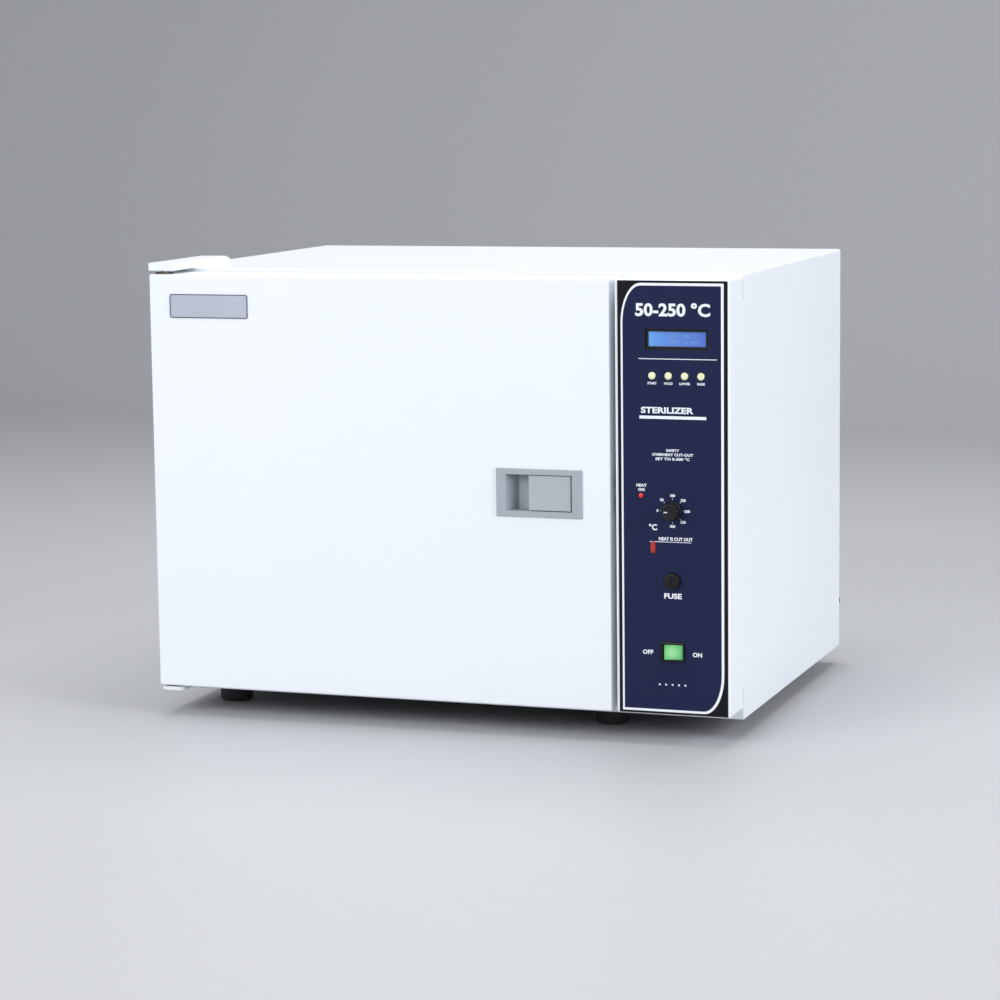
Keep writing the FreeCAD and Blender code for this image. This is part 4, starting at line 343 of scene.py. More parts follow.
# %% Shared effects: moulded grain, brushed lines and fibres
grain, have, give = shader_group(
    "moulded grain", {"Colour": rgb(0.5, 0.5, 0.5), "Shade": rgb(0.4, 0.4, 0.4), "Grain": 2600.0,
                      "Smooth": 0.38, "Rough": 0.55},
    {"Colour": "Color", "Roughness": "Float", "Height": "Float"})
cloud = grain.noise(grain.place(), 60.0, 3.0)
grain.link(grain.blend(cloud, have["Colour"], have["Shade"]), give["Colour"])
grain.link(grain.spread(cloud, have["Smooth"], have["Rough"]), give["Roughness"])
grain.link(grain.noise(grain.place(), have["Grain"], 2.0), give["Height"])

brush, have, give = shader_group(
    "brushed lines", {"Colour": rgb(0.6, 0.6, 0.6), "Shade": rgb(0.5, 0.5, 0.5),
                      "Stretch": (20.0, 2000.0, 2000.0), "Smooth": 0.25, "Rough": 0.45},
    {"Colour": "Color", "Roughness": "Float", "Height": "Float"})
pulled = brush.add("Mapping", {"Vector": brush.place(), "Scale": have["Stretch"]}).outputs[0]
lines = brush.noise(pulled, 1.0, 3.0, 0.6)
haze = brush.noise(brush.place(), 12.0, 2.0)
brush.link(brush.blend(lines, have["Colour"], have["Shade"]), give["Colour"])
brush.link(brush.spread(brush.sums("MULTIPLY", lines, brush.spread(haze, 0.7, 1.3)),
                                  have["Smooth"], have["Rough"]), give["Roughness"])
brush.link(lines, give["Height"])

fibre, have, give = shader_group(
    "pressed fibres", {"Colour": rgb(0.6, 0.5, 0.3), "Shade": rgb(0.4, 0.3, 0.2), "Grain": 90.0},
    {"Colour": "Color", "Height": "Float"})
tangle = fibre.noise(fibre.place(), have["Grain"], 6.0, 0.75)
strand = fibre.noise(fibre.place(), fibre.sums("MULTIPLY", have["Grain"], 9.0), 4.0, 0.8)
woven = fibre.sums("MULTIPLY", tangle, strand)
fibre.link(fibre.blend(fibre.spread(woven, 0.0, 2.4), have["Shade"], have["Colour"]), give["Colour"])
fibre.link(woven, give["Height"])
print("groups", [group.name for group in bpy.data.node_groups])

# %% [markdown]
# A finish is then a group, a Principled shader and a Bump node between them. The numbers that are
# the same all over, such as metal or not and the strength of the gloss, are set on the shader.

# %% From a group to a finish
FINISH = {}


def finish(slot, group, values, bump=0.1, depth_mm=0.05, **shader_values):
    """A material named for a slot of the record. The group's colour, roughness and height feed
    the shader; the height goes through a Bump node of the given strength and depth."""
    material = bpy.data.materials.new(slot)
    material.use_nodes = True
    tree = Tree(material.node_tree)
    shader = material.node_tree.nodes["Principled BSDF"]
    effect = tree.add("Group", values, node_tree=group.tree)
    tree.link(effect.outputs["Colour"], shader.inputs["Base Color"])
    if "Roughness" in effect.outputs:
        tree.link(effect.outputs["Roughness"], shader.inputs["Roughness"])
    height = effect.outputs["Height"]
    relief = tree.add("Bump", {"Strength": bump, "Distance": depth_mm * MM, "Height": height})
    tree.link(relief.outputs["Normal"], shader.inputs["Normal"])
    for key, value in shader_values.items():
        shader.inputs[key.replace("_", " ")].default_value = value
    FINISH[slot] = material
    return material


def tones(colour, shade, gloss=None, **more):
    """Values for a group: two colours, the least and the most roughness, and others by name."""
    values = {"Colour": rgb(*colour), "Shade": rgb(*shade), **more}
    if gloss:
        values["Smooth"], values["Rough"] = gloss
    return values


finish("white_paint", coat, tones((0.85, 0.885, 0.93), (0.83, 0.868, 0.918), (0.30, 0.38)),
       Coat_Weight=0.15, Coat_Roughness=0.2)
finish("zinc_sheet", brush, tones((0.62, 0.64, 0.66), (0.48, 0.50, 0.53), (0.3, 0.55),
                                  Stretch=(60.0, 60.0, 60.0)), Metallic=1.0)
finish("stainless_sheet", brush, tones((0.66, 0.66, 0.65), (0.59, 0.59, 0.58), (0.26, 0.36),
                                       Stretch=(9.0, 2600.0, 2600.0)),
       bump=0.12, depth_mm=0.015, Metallic=1.0)
finish("shelf_wire", grain, tones((0.70, 0.70, 0.69), (0.62, 0.62, 0.61), (0.10, 0.18)),
       bump=0.03, depth_mm=0.01, Metallic=1.0)
finish("element_sheath", grain, tones((0.16, 0.14, 0.12), (0.26, 0.21, 0.17), (0.4, 0.6), Grain=900.0),
       Metallic=0.8)
finish("sensor_steel", brush, {"Stretch": (900.0, 12.0, 900.0)}, Metallic=1.0)
finish("mineral_wool", fibre, tones((0.66, 0.56, 0.32), (0.40, 0.32, 0.16)),
       bump=1.0, depth_mm=2.0, Roughness=0.95)
finish("screw_steel", grain, tones((0.58, 0.59, 0.60), (0.45, 0.46, 0.48), (0.25, 0.4), Grain=1500.0),
       Metallic=1.0)
finish("bronze", grain, tones((0.20, 0.15, 0.10), (0.13, 0.10, 0.07), (0.45, 0.6), Grain=3000.0),
       Metallic=1.0)
finish("black_rubber", grain, tones((0.018, 0.018, 0.02), (0.03, 0.03, 0.032), (0.55, 0.75), Grain=1800.0),
       bump=0.2)
finish("seal_silicone", grain, tones((0.42, 0.43, 0.45), (0.36, 0.37, 0.39), (0.45, 0.6), Grain=1200.0),
       Subsurface_Weight=0.05)
finish("grey_plastic", grain, tones((0.385, 0.418, 0.465), (0.355, 0.388, 0.435), (0.36, 0.46)), bump=0.12)
finish("paddle_grey", grain, tones((0.43, 0.475, 0.505), (0.395, 0.435, 0.47), (0.32, 0.42)), bump=0.12)
finish("badge_metal", brush, tones((0.66, 0.69, 0.80), (0.46, 0.48, 0.58), (0.28, 0.42),
                                   Stretch=(25.0, 2400.0, 2400.0)),
       bump=0.2, depth_mm=0.02, Metallic=0.85)
# Painted shade: the plate's brushed metal made darker, for the dark line on its rolled edge.
finish("badge_edge_shade", brush, tones((0.16, 0.16, 0.20), (0.09, 0.09, 0.12), (0.3, 0.45),
                                  Stretch=(25.0, 2400.0, 2400.0)), Metallic=0.85)
finish("black_plastic", grain, tones((0.005, 0.005, 0.006), (0.009, 0.009, 0.010), (0.34, 0.48)),
       bump=0.12, Specular_IOR_Level=0.28)
finish("switch_plastic", grain, tones((0.006, 0.006, 0.007), (0.010, 0.010, 0.011), (0.24, 0.36)),
       bump=0.05, Specular_IOR_Level=0.25)
finish("circuit_board", grain, tones((0.01, 0.12, 0.05), (0.015, 0.16, 0.07), Grain=500.0))
finish("post_plastic", grain, tones((0.62, 0.60, 0.54), (0.55, 0.53, 0.47)))
finish("key_cap", grain, tones((0.90, 0.90, 0.60), (0.86, 0.85, 0.50), (0.24, 0.36)),
       bump=0.05, Subsurface_Weight=0.1)
finish("thermostat_can", grain, tones((0.05, 0.05, 0.055), (0.035, 0.035, 0.04)))
finish("printed_white", grain, tones((0.88, 0.90, 0.96), (0.82, 0.85, 0.93), (0.35, 0.45)),
       bump=0.03, depth_mm=0.01)
print(len(FINISH), "finishes so far")

# %% [markdown]
# Lamps, the lit switch and the display shine by themselves. A lens is brightest where its lamp
# sits behind it and fades to its rim, so the glow is a ball gradient about the lens's middle. The
# gradient is a colour that changes over the surface, and only its strength is one number.

# %% Shared effect: a lamp behind a lens
lit, have, give = shader_group(
    "lamp glow", {"Middle": (0.0, 0.0, 0.0), "Reach": 0.005,
                  "Core": rgb(1, 0.8, 0.7), "Rim": rgb(0.4, 0, 0)},
    {"Colour": "Color", "Mask": "Float", "Height": "Float"})
away = lit.add("VectorMath", {0: lit.place(), 1: have["Middle"]}, operation="DISTANCE").outputs["Value"]
falloff = lit.sums("SUBTRACT", 1.0, lit.sums("DIVIDE", away, have["Reach"]), clamp=True)
lit.link(lit.blend(falloff, have["Rim"], have["Core"]), give["Colour"])
lit.link(falloff, give["Mask"])
lit.link(lit.noise(lit.place(), 3000.0), give["Height"])


def shine(material, strength):
    """Makes a finish give off light of its own colour."""
    nodes = material.node_tree.nodes
    glow = next(node for node in nodes if node.type == "GROUP")
    shader = nodes["Principled BSDF"]
    material.node_tree.links.new(glow.outputs["Colour"], shader.inputs["Emission Color"])
    shader.inputs["Emission Strength"].default_value = strength


def lens_finish(slot, node, reach_mm, core, rim, strength):
    """A glossy lens, lit from behind the middle of a node's front."""
    values = {"Middle": on_plane(node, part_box(node)[0].y), "Reach": reach_mm * MM,
              "Core": rgb(*core), "Rim": rgb(*rim)}
    material = finish(slot, lit, values, bump=0.03, depth_mm=0.01, Roughness=0.2,
                      Coat_Weight=0.5, Coat_Roughness=0.08)
    shine(material, strength)
    return material


lens_finish("red_lens", "heating_lamp", 4.0, (0.62, 0.014, 0.012), (0.20, 0.002, 0.003), 0.7)
lens_finish("limit_lens", "limit_lamp", 9.0, (0.40, 0.008, 0.010), (0.17, 0.002, 0.004), 0.28)
lens_finish("green_lens", "switch_rocker", 12.0, (0.27, 0.58, 0.27), (0.035, 0.29, 0.075), 0.42)
print("lit lenses:", [slot for slot in FINISH if slot.endswith("_lens")])

# %% [markdown]
# The panel overlay is a polyester film printed on its back: black at the edge, navy inside, and a
# white line between them. The line has two large elliptical corners, at the top left and at the
# bottom right, and two square ones. The colours are a mask worked out with arithmetic nodes, and
# the white line is a thin raised strip of its own, so that its edge stays crisp.

# %% The shape of the printed field
FIELD_LEFT, FIELD_RIGHT = 549.4, 656.7
FIELD_BOTTOM, FIELD_TOP = 17.9, 469.7
LINE_LEFT, LINE_RIGHT, LINE_TOP, LINE_BOTTOM = 2.0, 2.9, 2.8, 2.5
BEND_ACROSS, BEND_UP = 20.0, 40.0
LINE_THICK_MM = 0.06

field, have, give = shader_group(
    "printed field", {"Field": rgb(0, 0, 0.1), "Edge": rgb(0, 0, 0), "Smooth": 0.3, "Rough": 0.4},
    {"Colour": "Color", "Roughness": "Float", "Height": "Float", "Mask": "Float"})
where = field.add("SeparateXYZ", {0: field.place()}).outputs
low, high = on_front(FIELD_LEFT, FIELD_BOTTOM), on_front(FIELD_RIGHT, FIELD_TOP)


def inside_corner(towards_right, towards_top):
    """1 inside an elliptical corner and 0 beyond it. The corner's middle stands one bend in from
    both sides, and a point is beyond it where its distance, counted in bends, is over one."""
    squares = []
    for axis, bend, towards in ((0, BEND_ACROSS * MM, towards_right), (2, BEND_UP * MM, towards_top)):
        way = 1 if towards else -1
        edge = (high if towards else low)[axis]
        from_middle = field.sums("SUBTRACT", where[axis], edge - way * bend)
        bends = field.sums("MAXIMUM", field.sums("MULTIPLY", from_middle, way / bend), 0.0)
        squares.append(field.sums("MULTIPLY", bends, bends))
    return field.sums("LESS_THAN", field.sums("SQRT", field.sums("ADD", *squares)), 1.0)


masks = [field.sums("GREATER_THAN", where[0], low.x), field.sums("LESS_THAN", where[0], high.x),
         field.sums("GREATER_THAN", where[2], low.z), field.sums("LESS_THAN", where[2], high.z),
         inside_corner(False, True), inside_corner(True, False)]
mask = masks[0]
for other in masks[1:]:
    mask = field.sums("MULTIPLY", mask, other)
print_drift = field.noise(field.place(), 30.0, 3.0)
field.link(field.blend(mask, have["Edge"], have["Field"]), give["Colour"])
field.link(field.spread(print_drift, have["Smooth"], have["Rough"]), give["Roughness"])
field.link(field.noise(field.place(), 1800.0, 2.0), give["Height"])
field.link(mask, give["Mask"])
finish("panel_print", field, {"Field": rgb(0.0075, 0.0125, 0.056), "Edge": rgb(0.003, 0.003, 0.006),
                              "Smooth": 0.30, "Rough": 0.42},
       bump=0.10, depth_mm=0.02, Specular_IOR_Level=0.2)
print("field is", round(FIELD_RIGHT - FIELD_LEFT, 1), "by", round(FIELD_TOP - FIELD_BOTTOM, 1), "mm")

# %% [markdown]
# The white line follows the same outline. Its centre path is not needed: the strip is a ring
# between an inner and an outer outline, each with its own bends, and a little height in front.

# %% The white line round the field
def field_outline(left, bottom, right, top, bend_across, bend_up, steps=24):
    """Points of the outline, anticlockwise from the bottom left. Two corners are quarter ellipses,
    x = middle + bend_across cos a and z = middle + bend_up sin a, and two are square."""
    turn = np.linspace(0, np.pi / 2, steps)
    bottom_right = np.stack([right - bend_across + bend_across * np.sin(turn),
                             bottom + bend_up - bend_up * np.cos(turn)], -1)
    top_left = np.stack([left + bend_across - bend_across * np.sin(turn),
                         top - bend_up + bend_up * np.cos(turn)], -1)
    return np.concatenate([[[left, bottom]], bottom_right, [[right, top]], top_left])


inner = field_outline(FIELD_LEFT, FIELD_BOTTOM, FIELD_RIGHT, FIELD_TOP, BEND_ACROSS, BEND_UP)
outer = field_outline(FIELD_LEFT - LINE_LEFT, FIELD_BOTTOM - LINE_BOTTOM, FIELD_RIGHT + LINE_RIGHT,
                      FIELD_TOP + LINE_TOP, BEND_ACROSS + LINE_LEFT, BEND_UP + LINE_TOP)


def strip(name, outer_ring, inner_ring, back_y, thick_mm):
    """A flat ring between two outlines, standing proud of back_y by its thickness."""
    rows = []
    for ring, depth in ((outer_ring, 0), (outer_ring, thick_mm), (inner_ring, thick_mm), (inner_ring, 0)):
        rows.append(np.stack([LEFT + ring[:, 0] * MM, np.full(len(ring), back_y - depth * MM),
                              UNDERSIDE + ring[:, 1] * MM], -1))
    return grid_piece(name, np.array(rows), close_rows=True)


def dress(piece, material, body, slot, *replaced):
    """Gives a new piece its finish and its body, and hides the nodes it stands for. The slot is not used."""
    piece.data.materials.clear()
    piece.data.materials.append(material)
    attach(piece, body)
    if replaced:
        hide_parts(*replaced)
    return piece


line = strip("panel_line", outer, inner, PRINT_FACE, LINE_THICK_MM)
dress(line, FINISH["printed_white"], "root", "panel_print")

# %% [markdown]
# The lettering is set with Blender's own font and made into meshes at once. It is only what any
# such panel says: numbers round the dial, on and off at the switch, and a word at each control.

# %% Lettering and rules
INK_THICK_MM = 0.05
CAPITAL_SHARE = 0.73


def lettering(name, words, material, slot="panel_print", face=PRINT_FACE):
    """One mesh from many words. Each is (text, across, up, height, bolder, wider): centred on its
    place, a capital so many millimetres high, its outline grown by a share of that height and
    its width by a factor. CAPITAL_SHARE is a capital's height as a share of the font's size."""
    points, faces, count = [], [], 0
    for text, across, rise, height, bolder, wider in words:
        curve = bpy.data.curves.new(name, "FONT")
        curve.body = text
        curve.align_x = "CENTER"
        curve.size = height / CAPITAL_SHARE * MM
        curve.offset = bolder * height * MM
        curve.extrude = INK_THICK_MM / 2 * MM
        curve.resolution_u = 3
        holder = bpy.data.objects.new(name, curve)
        bpy.context.scene.collection.objects.link(holder)
        flat = bpy.data.meshes.new_from_object(holder.evaluated_get(bpy.context.evaluated_depsgraph_get()))
        bpy.data.objects.remove(holder)
        spot = on_front(across, rise - height / 2, face - INK_THICK_MM / 2 * MM)
        co = np.zeros(len(flat.vertices) * 3)
        flat.vertices.foreach_get("co", co)
        co = co.reshape(-1, 3)
        points.append(np.stack([co[:, 0] * wider + spot.x, spot.y - co[:, 2], co[:, 1] + spot.z], -1))
        faces += [[index + count for index in polygon.vertices] for polygon in flat.polygons]
        count += len(co)
    piece = make_piece(name, np.concatenate(points), faces, smooth=False)
    return dress(piece, material, "root", slot)


def rule(name, across_from, across_to, up_from, up_to, corner=0.15):
    """A printed bar between two corners."""
    centre = on_front((across_from + across_to) / 2, (up_from + up_to) / 2, PRINT_FACE)
    half_w, half_h = (across_to - across_from) / 2, (up_to - up_from) / 2
    layers = [(half_w, half_h, corner, 0), (half_w, half_h, corner, -INK_THICK_MM)]
    return dress(boxy(name, centre, layers), FINISH["printed_white"], "root", "panel_print")


KNOB_ACROSS, KNOB_UP = across_and_up("thermostat_knob")
KEY_UP = across_and_up("key_1")[1]
KEYS_ACROSS = [across_and_up(f"key_{key}")[0] for key in (1, 2, 3, 4)]
LAMP_ACROSS, LAMP_UP = across_and_up("heating_lamp")
DIAL_NUMBERS = ("0", "50", "100", "150", "200", "250", "300")
DIAL_STEP = 45
DIAL_REACH = 16.4
dial = [(text, KNOB_ACROSS - DIAL_REACH * math.cos(math.radians(DIAL_STEP * step)),
         KNOB_UP + DIAL_REACH * math.sin(math.radians(DIAL_STEP * step)), 2.8, 0.07, 1.0)
        for step, text in enumerate(DIAL_NUMBERS)]
words = dial + [
    ("50-250 °C", 604.2, 444.8, 13.2, 0.045, 1.08),
    ("STERILIZER", 597.5, 338.8, 6.4, 0.05, 1.32),
    ("°C", 581.8, 214.2, 6.2, 0.05, 1.0),
    ("ON", 630.2, 78.8, 4.6, 0.05, 1.05), ("OFF", 575.6, 79.6, 4.6, 0.05, 1.05),
    ("FUSE", 603.3, 141.0, 5.6, 0.05, 1.2),
    ("HEAT", LAMP_ACROSS + 0.5, LAMP_UP + 11.0, 3.0, 0.06, 1.1),
    ("ON", LAMP_ACROSS + 0.5, LAMP_UP + 6.4, 3.0, 0.06, 1.1),
    ("SAFETY", 603.6, 296.3, 2.7, 0.05, 1.15), ("OVERHEAT CUT-OUT", 603.6, 291.8, 2.8, 0.05, 1.2),
    ("SET TO 0-300 °C", 603.6, 287.2, 2.8, 0.05, 1.35),
    ("HEAT IS CUT OUT", 606.6, 202.0, 3.6, 0.05, 0.92),
]
words += [(text, across, KEY_UP - 7.9, 2.5, 0.05, 1.0)
          for text, across in zip(("START", "HOLD", "LOWER", "RAISE"), KEYS_ACROSS)]
letters = lettering("panel_lettering", words, FINISH["printed_white"])
rule("display_rule", 566.8, 652.3, 392.4, 393.2)
rule("lamp_rule", 578.0, 623.5, 198.3, 198.9)
rule("header_rule", 567.5, 640.5, 329.4, 332.6)
print("lettering has", len(letters.data.polygons), "faces")

# %% [markdown]
# The plate at the door's top left is plain brushed metal. On the real one its edge is rolled over and
# catches a dark line of shade, so a narrow frame goes round the plate, just proud of it. Its shape is the
# rolled edge, and its colour is painted shade: the plate's brushed metal made darker.

# %% The plate's rolled edge and its painted shade
PLATE_CORNER, PLATE_INSET, PLATE_EDGE, PLATE_PROUD = 3.0, 0.05, 1.1, 0.25
half_w, half_h = half_size("badge_plate")
layers = [(half_w - inset, half_h - inset, PLATE_CORNER - inset, depth) for inset, depth in
          ((PLATE_INSET, 0.0), (PLATE_INSET, -PLATE_PROUD), (PLATE_EDGE, -PLATE_PROUD), (PLATE_EDGE, 0.0))]
rim = boxy("badge_rim", on_plane("badge_plate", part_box("badge_plate")[0].y), layers, hollow=True)
# The rim's darker finish is painted shade, not a colour of the metal.
dress(rim, FINISH["badge_edge_shade"], "door", "badge_metal")
print("plate is", round(2 * half_w, 1), "by", round(2 * half_h, 1), "mm")

# %% [markdown]
# A dial needs its ticks, and the row of dots near the bottom marks where the printing ends. Both
# are the same short bar or dot, repeated by a rule: ticks every 45 degrees of the dial's sweep,
# dots at equal steps.

# %% Dial ticks and dots
def spots(name, centres, half_long, half_wide, turns):
    """Many small printed bars in one mesh. Bar k is a rectangle of two half sizes, turned by its
    own angle in the plane of the panel and moved to its centre."""
    corner = np.array([[1, 1], [-1, 1], [-1, -1], [1, -1]]) * [half_long, half_wide]
    turns = np.array(turns)[:, None]
    x = corner[:, 0] * np.cos(turns) - corner[:, 1] * np.sin(turns) + np.array(centres)[:, 0:1]
    z = corner[:, 0] * np.sin(turns) + corner[:, 1] * np.cos(turns) + np.array(centres)[:, 1:2]
    count = len(x)
    layers = [np.stack([LEFT + x * MM, np.full_like(x, PRINT_FACE - depth * MM), UNDERSIDE + z * MM], -1)
              for depth in (0, INK_THICK_MM)]
    points = np.stack(layers, 1).reshape(-1, 3)
    block = np.array([[0, 1, 2, 3], [4, 5, 6, 7], [0, 1, 5, 4], [1, 2, 6, 5], [2, 3, 7, 6], [3, 0, 4, 7]])
    faces = (block[None] + 8 * np.arange(count)[:, None, None]).reshape(-1, 4)
    return make_piece(name, points, faces.tolist(), smooth=False)


turns = np.radians(180 - DIAL_STEP * np.arange(len(DIAL_NUMBERS)))
TICK_REACH = 12.7
ticks = np.stack([KNOB_ACROSS + TICK_REACH * np.cos(turns), KNOB_UP + TICK_REACH * np.sin(turns)], -1)
dress(spots("dial_ticks", ticks, 0.9, 0.2, turns), FINISH["printed_white"], "root", "panel_print")
DOTS, DOTS_UP = 5, 45.0
dots = np.stack([np.linspace(588.4, 616.8, DOTS), np.full(DOTS, DOTS_UP)], -1)
dress(spots("lower_dots", dots, 0.9, 0.9, np.zeros(DOTS)), FINISH["printed_white"], "root", "panel_print")

# %% [markdown]
# The display is a blue backlit glass in a black frame, set a few millimetres behind the panel.
# Its light enters from the left, so it is brightest there and fades. Faint cells of a character
# display cover it, as a brick pattern, and two lines of words stand before them.

# %% The display
glass_low, glass_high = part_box("display_glass")
CELL_WIDE, CELL_TALL, CELL_GAP = 0.0036, 0.0062, 0.0003
WORDS_RIGHT, WORDS_RISE, WORDS_HIGH = 7, 3.3, 4.4
backlight, have, give = shader_group(
    "display backlight", {"Near": rgb(0.2, 0.5, 1), "Far": rgb(0.1, 0.2, 0.6), "Start": 0.0, "Width": 0.063},
    {"Colour": "Color", "Roughness": "Float", "Height": "Float"})
across = backlight.add("SeparateXYZ", {0: backlight.place()}).outputs[0]
from_left = backlight.sums("SUBTRACT", across, have["Start"])
share = backlight.sums("DIVIDE", from_left, have["Width"], clamp=True)
fade = backlight.sums("POWER", share, 0.22)
upright = {"Vector": backlight.place(), "Rotation": (math.radians(90), 0, 0)}
cells = backlight.add("TexBrick", {
    "Vector": backlight.add("Mapping", upright).outputs[0], "Color1": rgb(1, 1, 1),
    "Color2": rgb(0.94, 0.94, 0.94), "Mortar": rgb(0.8, 0.8, 0.8), "Scale": 1.0,
    "Mortar Size": CELL_GAP, "Brick Width": CELL_WIDE, "Row Height": CELL_TALL},
    offset=0.0).outputs["Color"]
tint = backlight.blend(fade, have["Near"], have["Far"])
veiled = backlight.add("Mix", {0: 0.5, 6: tint, 7: cells}, data_type="RGBA", blend_type="MULTIPLY")
backlight.link(veiled.outputs[2], give["Colour"])
cloud = backlight.noise(backlight.place(), 80.0)
backlight.link(backlight.spread(cloud, 0.12, 0.22), give["Roughness"])
backlight.link(backlight.noise(backlight.place(), 900.0), give["Height"])
screen = finish("display_blue", backlight,
                {"Near": rgb(0.12, 0.33, 0.60), "Far": rgb(0.046, 0.108, 0.37),
                 "Start": glass_low.x, "Width": glass_high.x - glass_low.x},
                bump=0.02, depth_mm=0.01, Coat_Weight=0.4, Coat_Roughness=0.05)
shine(screen, 0.9)
finish("display_ink", grain, tones((0.24, 0.32, 0.66), (0.21, 0.29, 0.62), (0.3, 0.4)), bump=0.02)
display_across, display_up = across_and_up("display_glass")
lines = [(text, display_across + WORDS_RIGHT, display_up + rise, WORDS_HIGH, 0.0, 1.0)
         for text, rise in (("SET  180 °C", WORDS_RISE), ("TIME  60 MIN", -WORDS_RISE))]
lettering("display_digits", lines, FINISH["display_ink"], slot="display_blue", face=glass_low.y)

# %% [markdown]
# The sheet steel round the display's opening is white, but on the real one no white edge shows:
# a black foam strip lines the opening from the film's front to the frame behind. It is a thin
# rectangular ring, made as a closed stack of four rounded rectangles.

# %% The display opening's lining
OPENING_HALF_W, OPENING_HALF_H, OPENING_CORNER = 34.47, 10.97, 0.5
LINING_WALL, LINING_DEEP = 0.45, 2.07
layers = [(OPENING_HALF_W - inset, OPENING_HALF_H - inset, OPENING_CORNER, depth) for inset, depth in
          ((0.0, 0.0), (0.0, LINING_DEEP), (LINING_WALL, LINING_DEEP), (LINING_WALL, 0.0))]
lining = boxy("display_lining", on_plane("display_glass"), layers, hollow=True)
dress(lining, FINISH["black_plastic"], "root", "black_plastic")
print("the lining is", LINING_DEEP, "mm deep")

# %% [markdown]
# Push keys are small domed caps that stand proud of the panel. A turned profile gives the dome: a
# straight side, a rounded shoulder and a crown that rises as a shallow ellipse. The part of the
# key behind the panel keeps its collar and stem.

# %% The four keys
NEAR_AXIS = 0.02


def dome_profile(radius, front_depth, shoulder):
    """Profile rows of a dome, from the end of its straight side to the top of its crown."""
    crown_from = front_depth + shoulder * 0.25
    rows = arc_rows(radius, front_depth + shoulder, radius - shoulder, crown_from, 5)
    return rows + arc_rows(radius - shoulder, crown_from, NEAR_AXIS, front_depth, 7)[1:]


KEY_BODIES = ("first_key", "second_key", "third_key", "fourth_key")
KEY_FRONT, KEY_DEEP = depths("key_1")
KEY_RADIUS, KEY_SHOULDER, STEM_RADIUS = 3.75, 0.9, 1.6
COLLAR_RADIUS, COLLAR_FROM, COLLAR_TO = 5.3, 2.4, 3.6
profile = [(NEAR_AXIS, KEY_DEEP), (STEM_RADIUS, KEY_DEEP), (STEM_RADIUS, COLLAR_TO),
           (COLLAR_RADIUS, COLLAR_TO), (COLLAR_RADIUS, COLLAR_FROM), (KEY_RADIUS, COLLAR_FROM)]
profile += dome_profile(KEY_RADIUS, KEY_FRONT, KEY_SHOULDER)
for number, body in enumerate(KEY_BODIES, start=1):
    cap = turned(f"key_cap_{number}", on_plane(f"key_{number}"), profile, steps=40)
    dress(cap, FINISH["key_cap"], body, "key_cap", f"key_{number}")
print("keys stand", round(-KEY_FRONT, 2), "mm proud")

# %% [markdown]
# Lamps are the same dome, smaller. The limit lamp is an oval one, so its dome is a stack of
# rounded rectangles that shrink on a quarter ellipse.

# %% Lamp lenses
FLANGE_FROM, LENS_SHOULDER = 2.15, 1.0
LAMP_RADIUS, LAMP_FLANGE = 2.5, 3.2
lamp_front, lamp_back = depths("heating_lamp")
profile = [(NEAR_AXIS, lamp_back), (LAMP_FLANGE, lamp_back), (LAMP_FLANGE, FLANGE_FROM),
           (LAMP_RADIUS, FLANGE_FROM)]
profile += dome_profile(LAMP_RADIUS, lamp_front, LENS_SHOULDER)
lamp = turned("heating_lens", on_plane("heating_lamp"), profile, steps=36)
dress(lamp, FINISH["red_lens"], "root", "red_lens", "heating_lamp")

OVAL_W, OVAL_H, OVAL_FLANGE, OVAL_CROWN = 2.7, 6.4, 1.4, 2.2
oval_front, oval_back = depths("limit_lamp")
shoulder_at = oval_front + LENS_SHOULDER
layers = [(OVAL_W + OVAL_FLANGE, OVAL_H + OVAL_FLANGE, 1.0, oval_back),
          (OVAL_W + OVAL_FLANGE, OVAL_H + OVAL_FLANGE, 1.0, FLANGE_FROM),
          (OVAL_W, OVAL_H, OVAL_W, FLANGE_FROM), (OVAL_W, OVAL_H, OVAL_W, shoulder_at)]
for turn in np.linspace(0.2, np.pi / 2, 6):
    shrink = OVAL_CROWN * (1 - math.cos(turn))
    layers.append((OVAL_W - shrink, OVAL_H - shrink, OVAL_W, shoulder_at - math.sin(turn)))
oval = boxy("limit_lens_cap", on_plane("limit_lamp"), layers)
dress(oval, FINISH["limit_lens"], "root", "red_lens", "limit_lamp")

# %% [markdown]
# The knob is a fluted grip with a white pointer. Its radius is a function of both turn and depth:
# the flutes are the positive part of a cosine raised to a power, so they are narrow scoops with
# wide lands between, and they fade out towards the skirt.

# %% The thermostat knob
def spun(name, centre, radius, height, turn):
    """A piece whose radius depends on the turn as well as the height, both in millimetres."""
    grid = np.stack([radius * np.cos(turn), -height + 0 * turn, radius * np.sin(turn)], -1) * MM
    return grid_piece(name, grid + np.array(centre), lids=(True, True))


knob_low, knob_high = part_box("thermostat_knob")
KNOB_R = half_size("thermostat_knob")[0]
KNOB_TALL = (knob_high.y - knob_low.y) / MM
FLUTES, FLUTE_DEEP = 12, 1.0
turn = np.linspace(0, 2 * np.pi, 12 * FLUTES, endpoint=False)[None, :]
knob_rows = [(0.30, 0.0, 0), (0.98, 0.0, 0), (1.0, 0.4, 0), (1.0, 2.4, 0), (0.97, 2.9, 0.2),
             (0.93, 3.6, 0.8), (0.92, 6.0, 1), (0.90, 9.0, 1), (0.88, KNOB_TALL - 1.6, 1),
             (0.85, KNOB_TALL - 0.7, 0.9), (0.79, KNOB_TALL - 0.15, 0.5), (0.72, KNOB_TALL, 0.1),
             (0.60, KNOB_TALL, 0), (0.56, KNOB_TALL - 0.5, 0), (0.02, KNOB_TALL - 0.5, 0)]
share, height, fluted = (np.array(column)[:, None] for column in zip(*knob_rows))
scoop = np.maximum(np.cos(FLUTES * turn), 0) ** 2
radius = KNOB_R * share - FLUTE_DEEP * fluted * scoop
knob = spun("knob_grip", on_plane("thermostat_knob", knob_high.y), radius, height, turn)
dress(knob, FINISH["black_plastic"], "limit_knob", "black_plastic", "thermostat_knob")

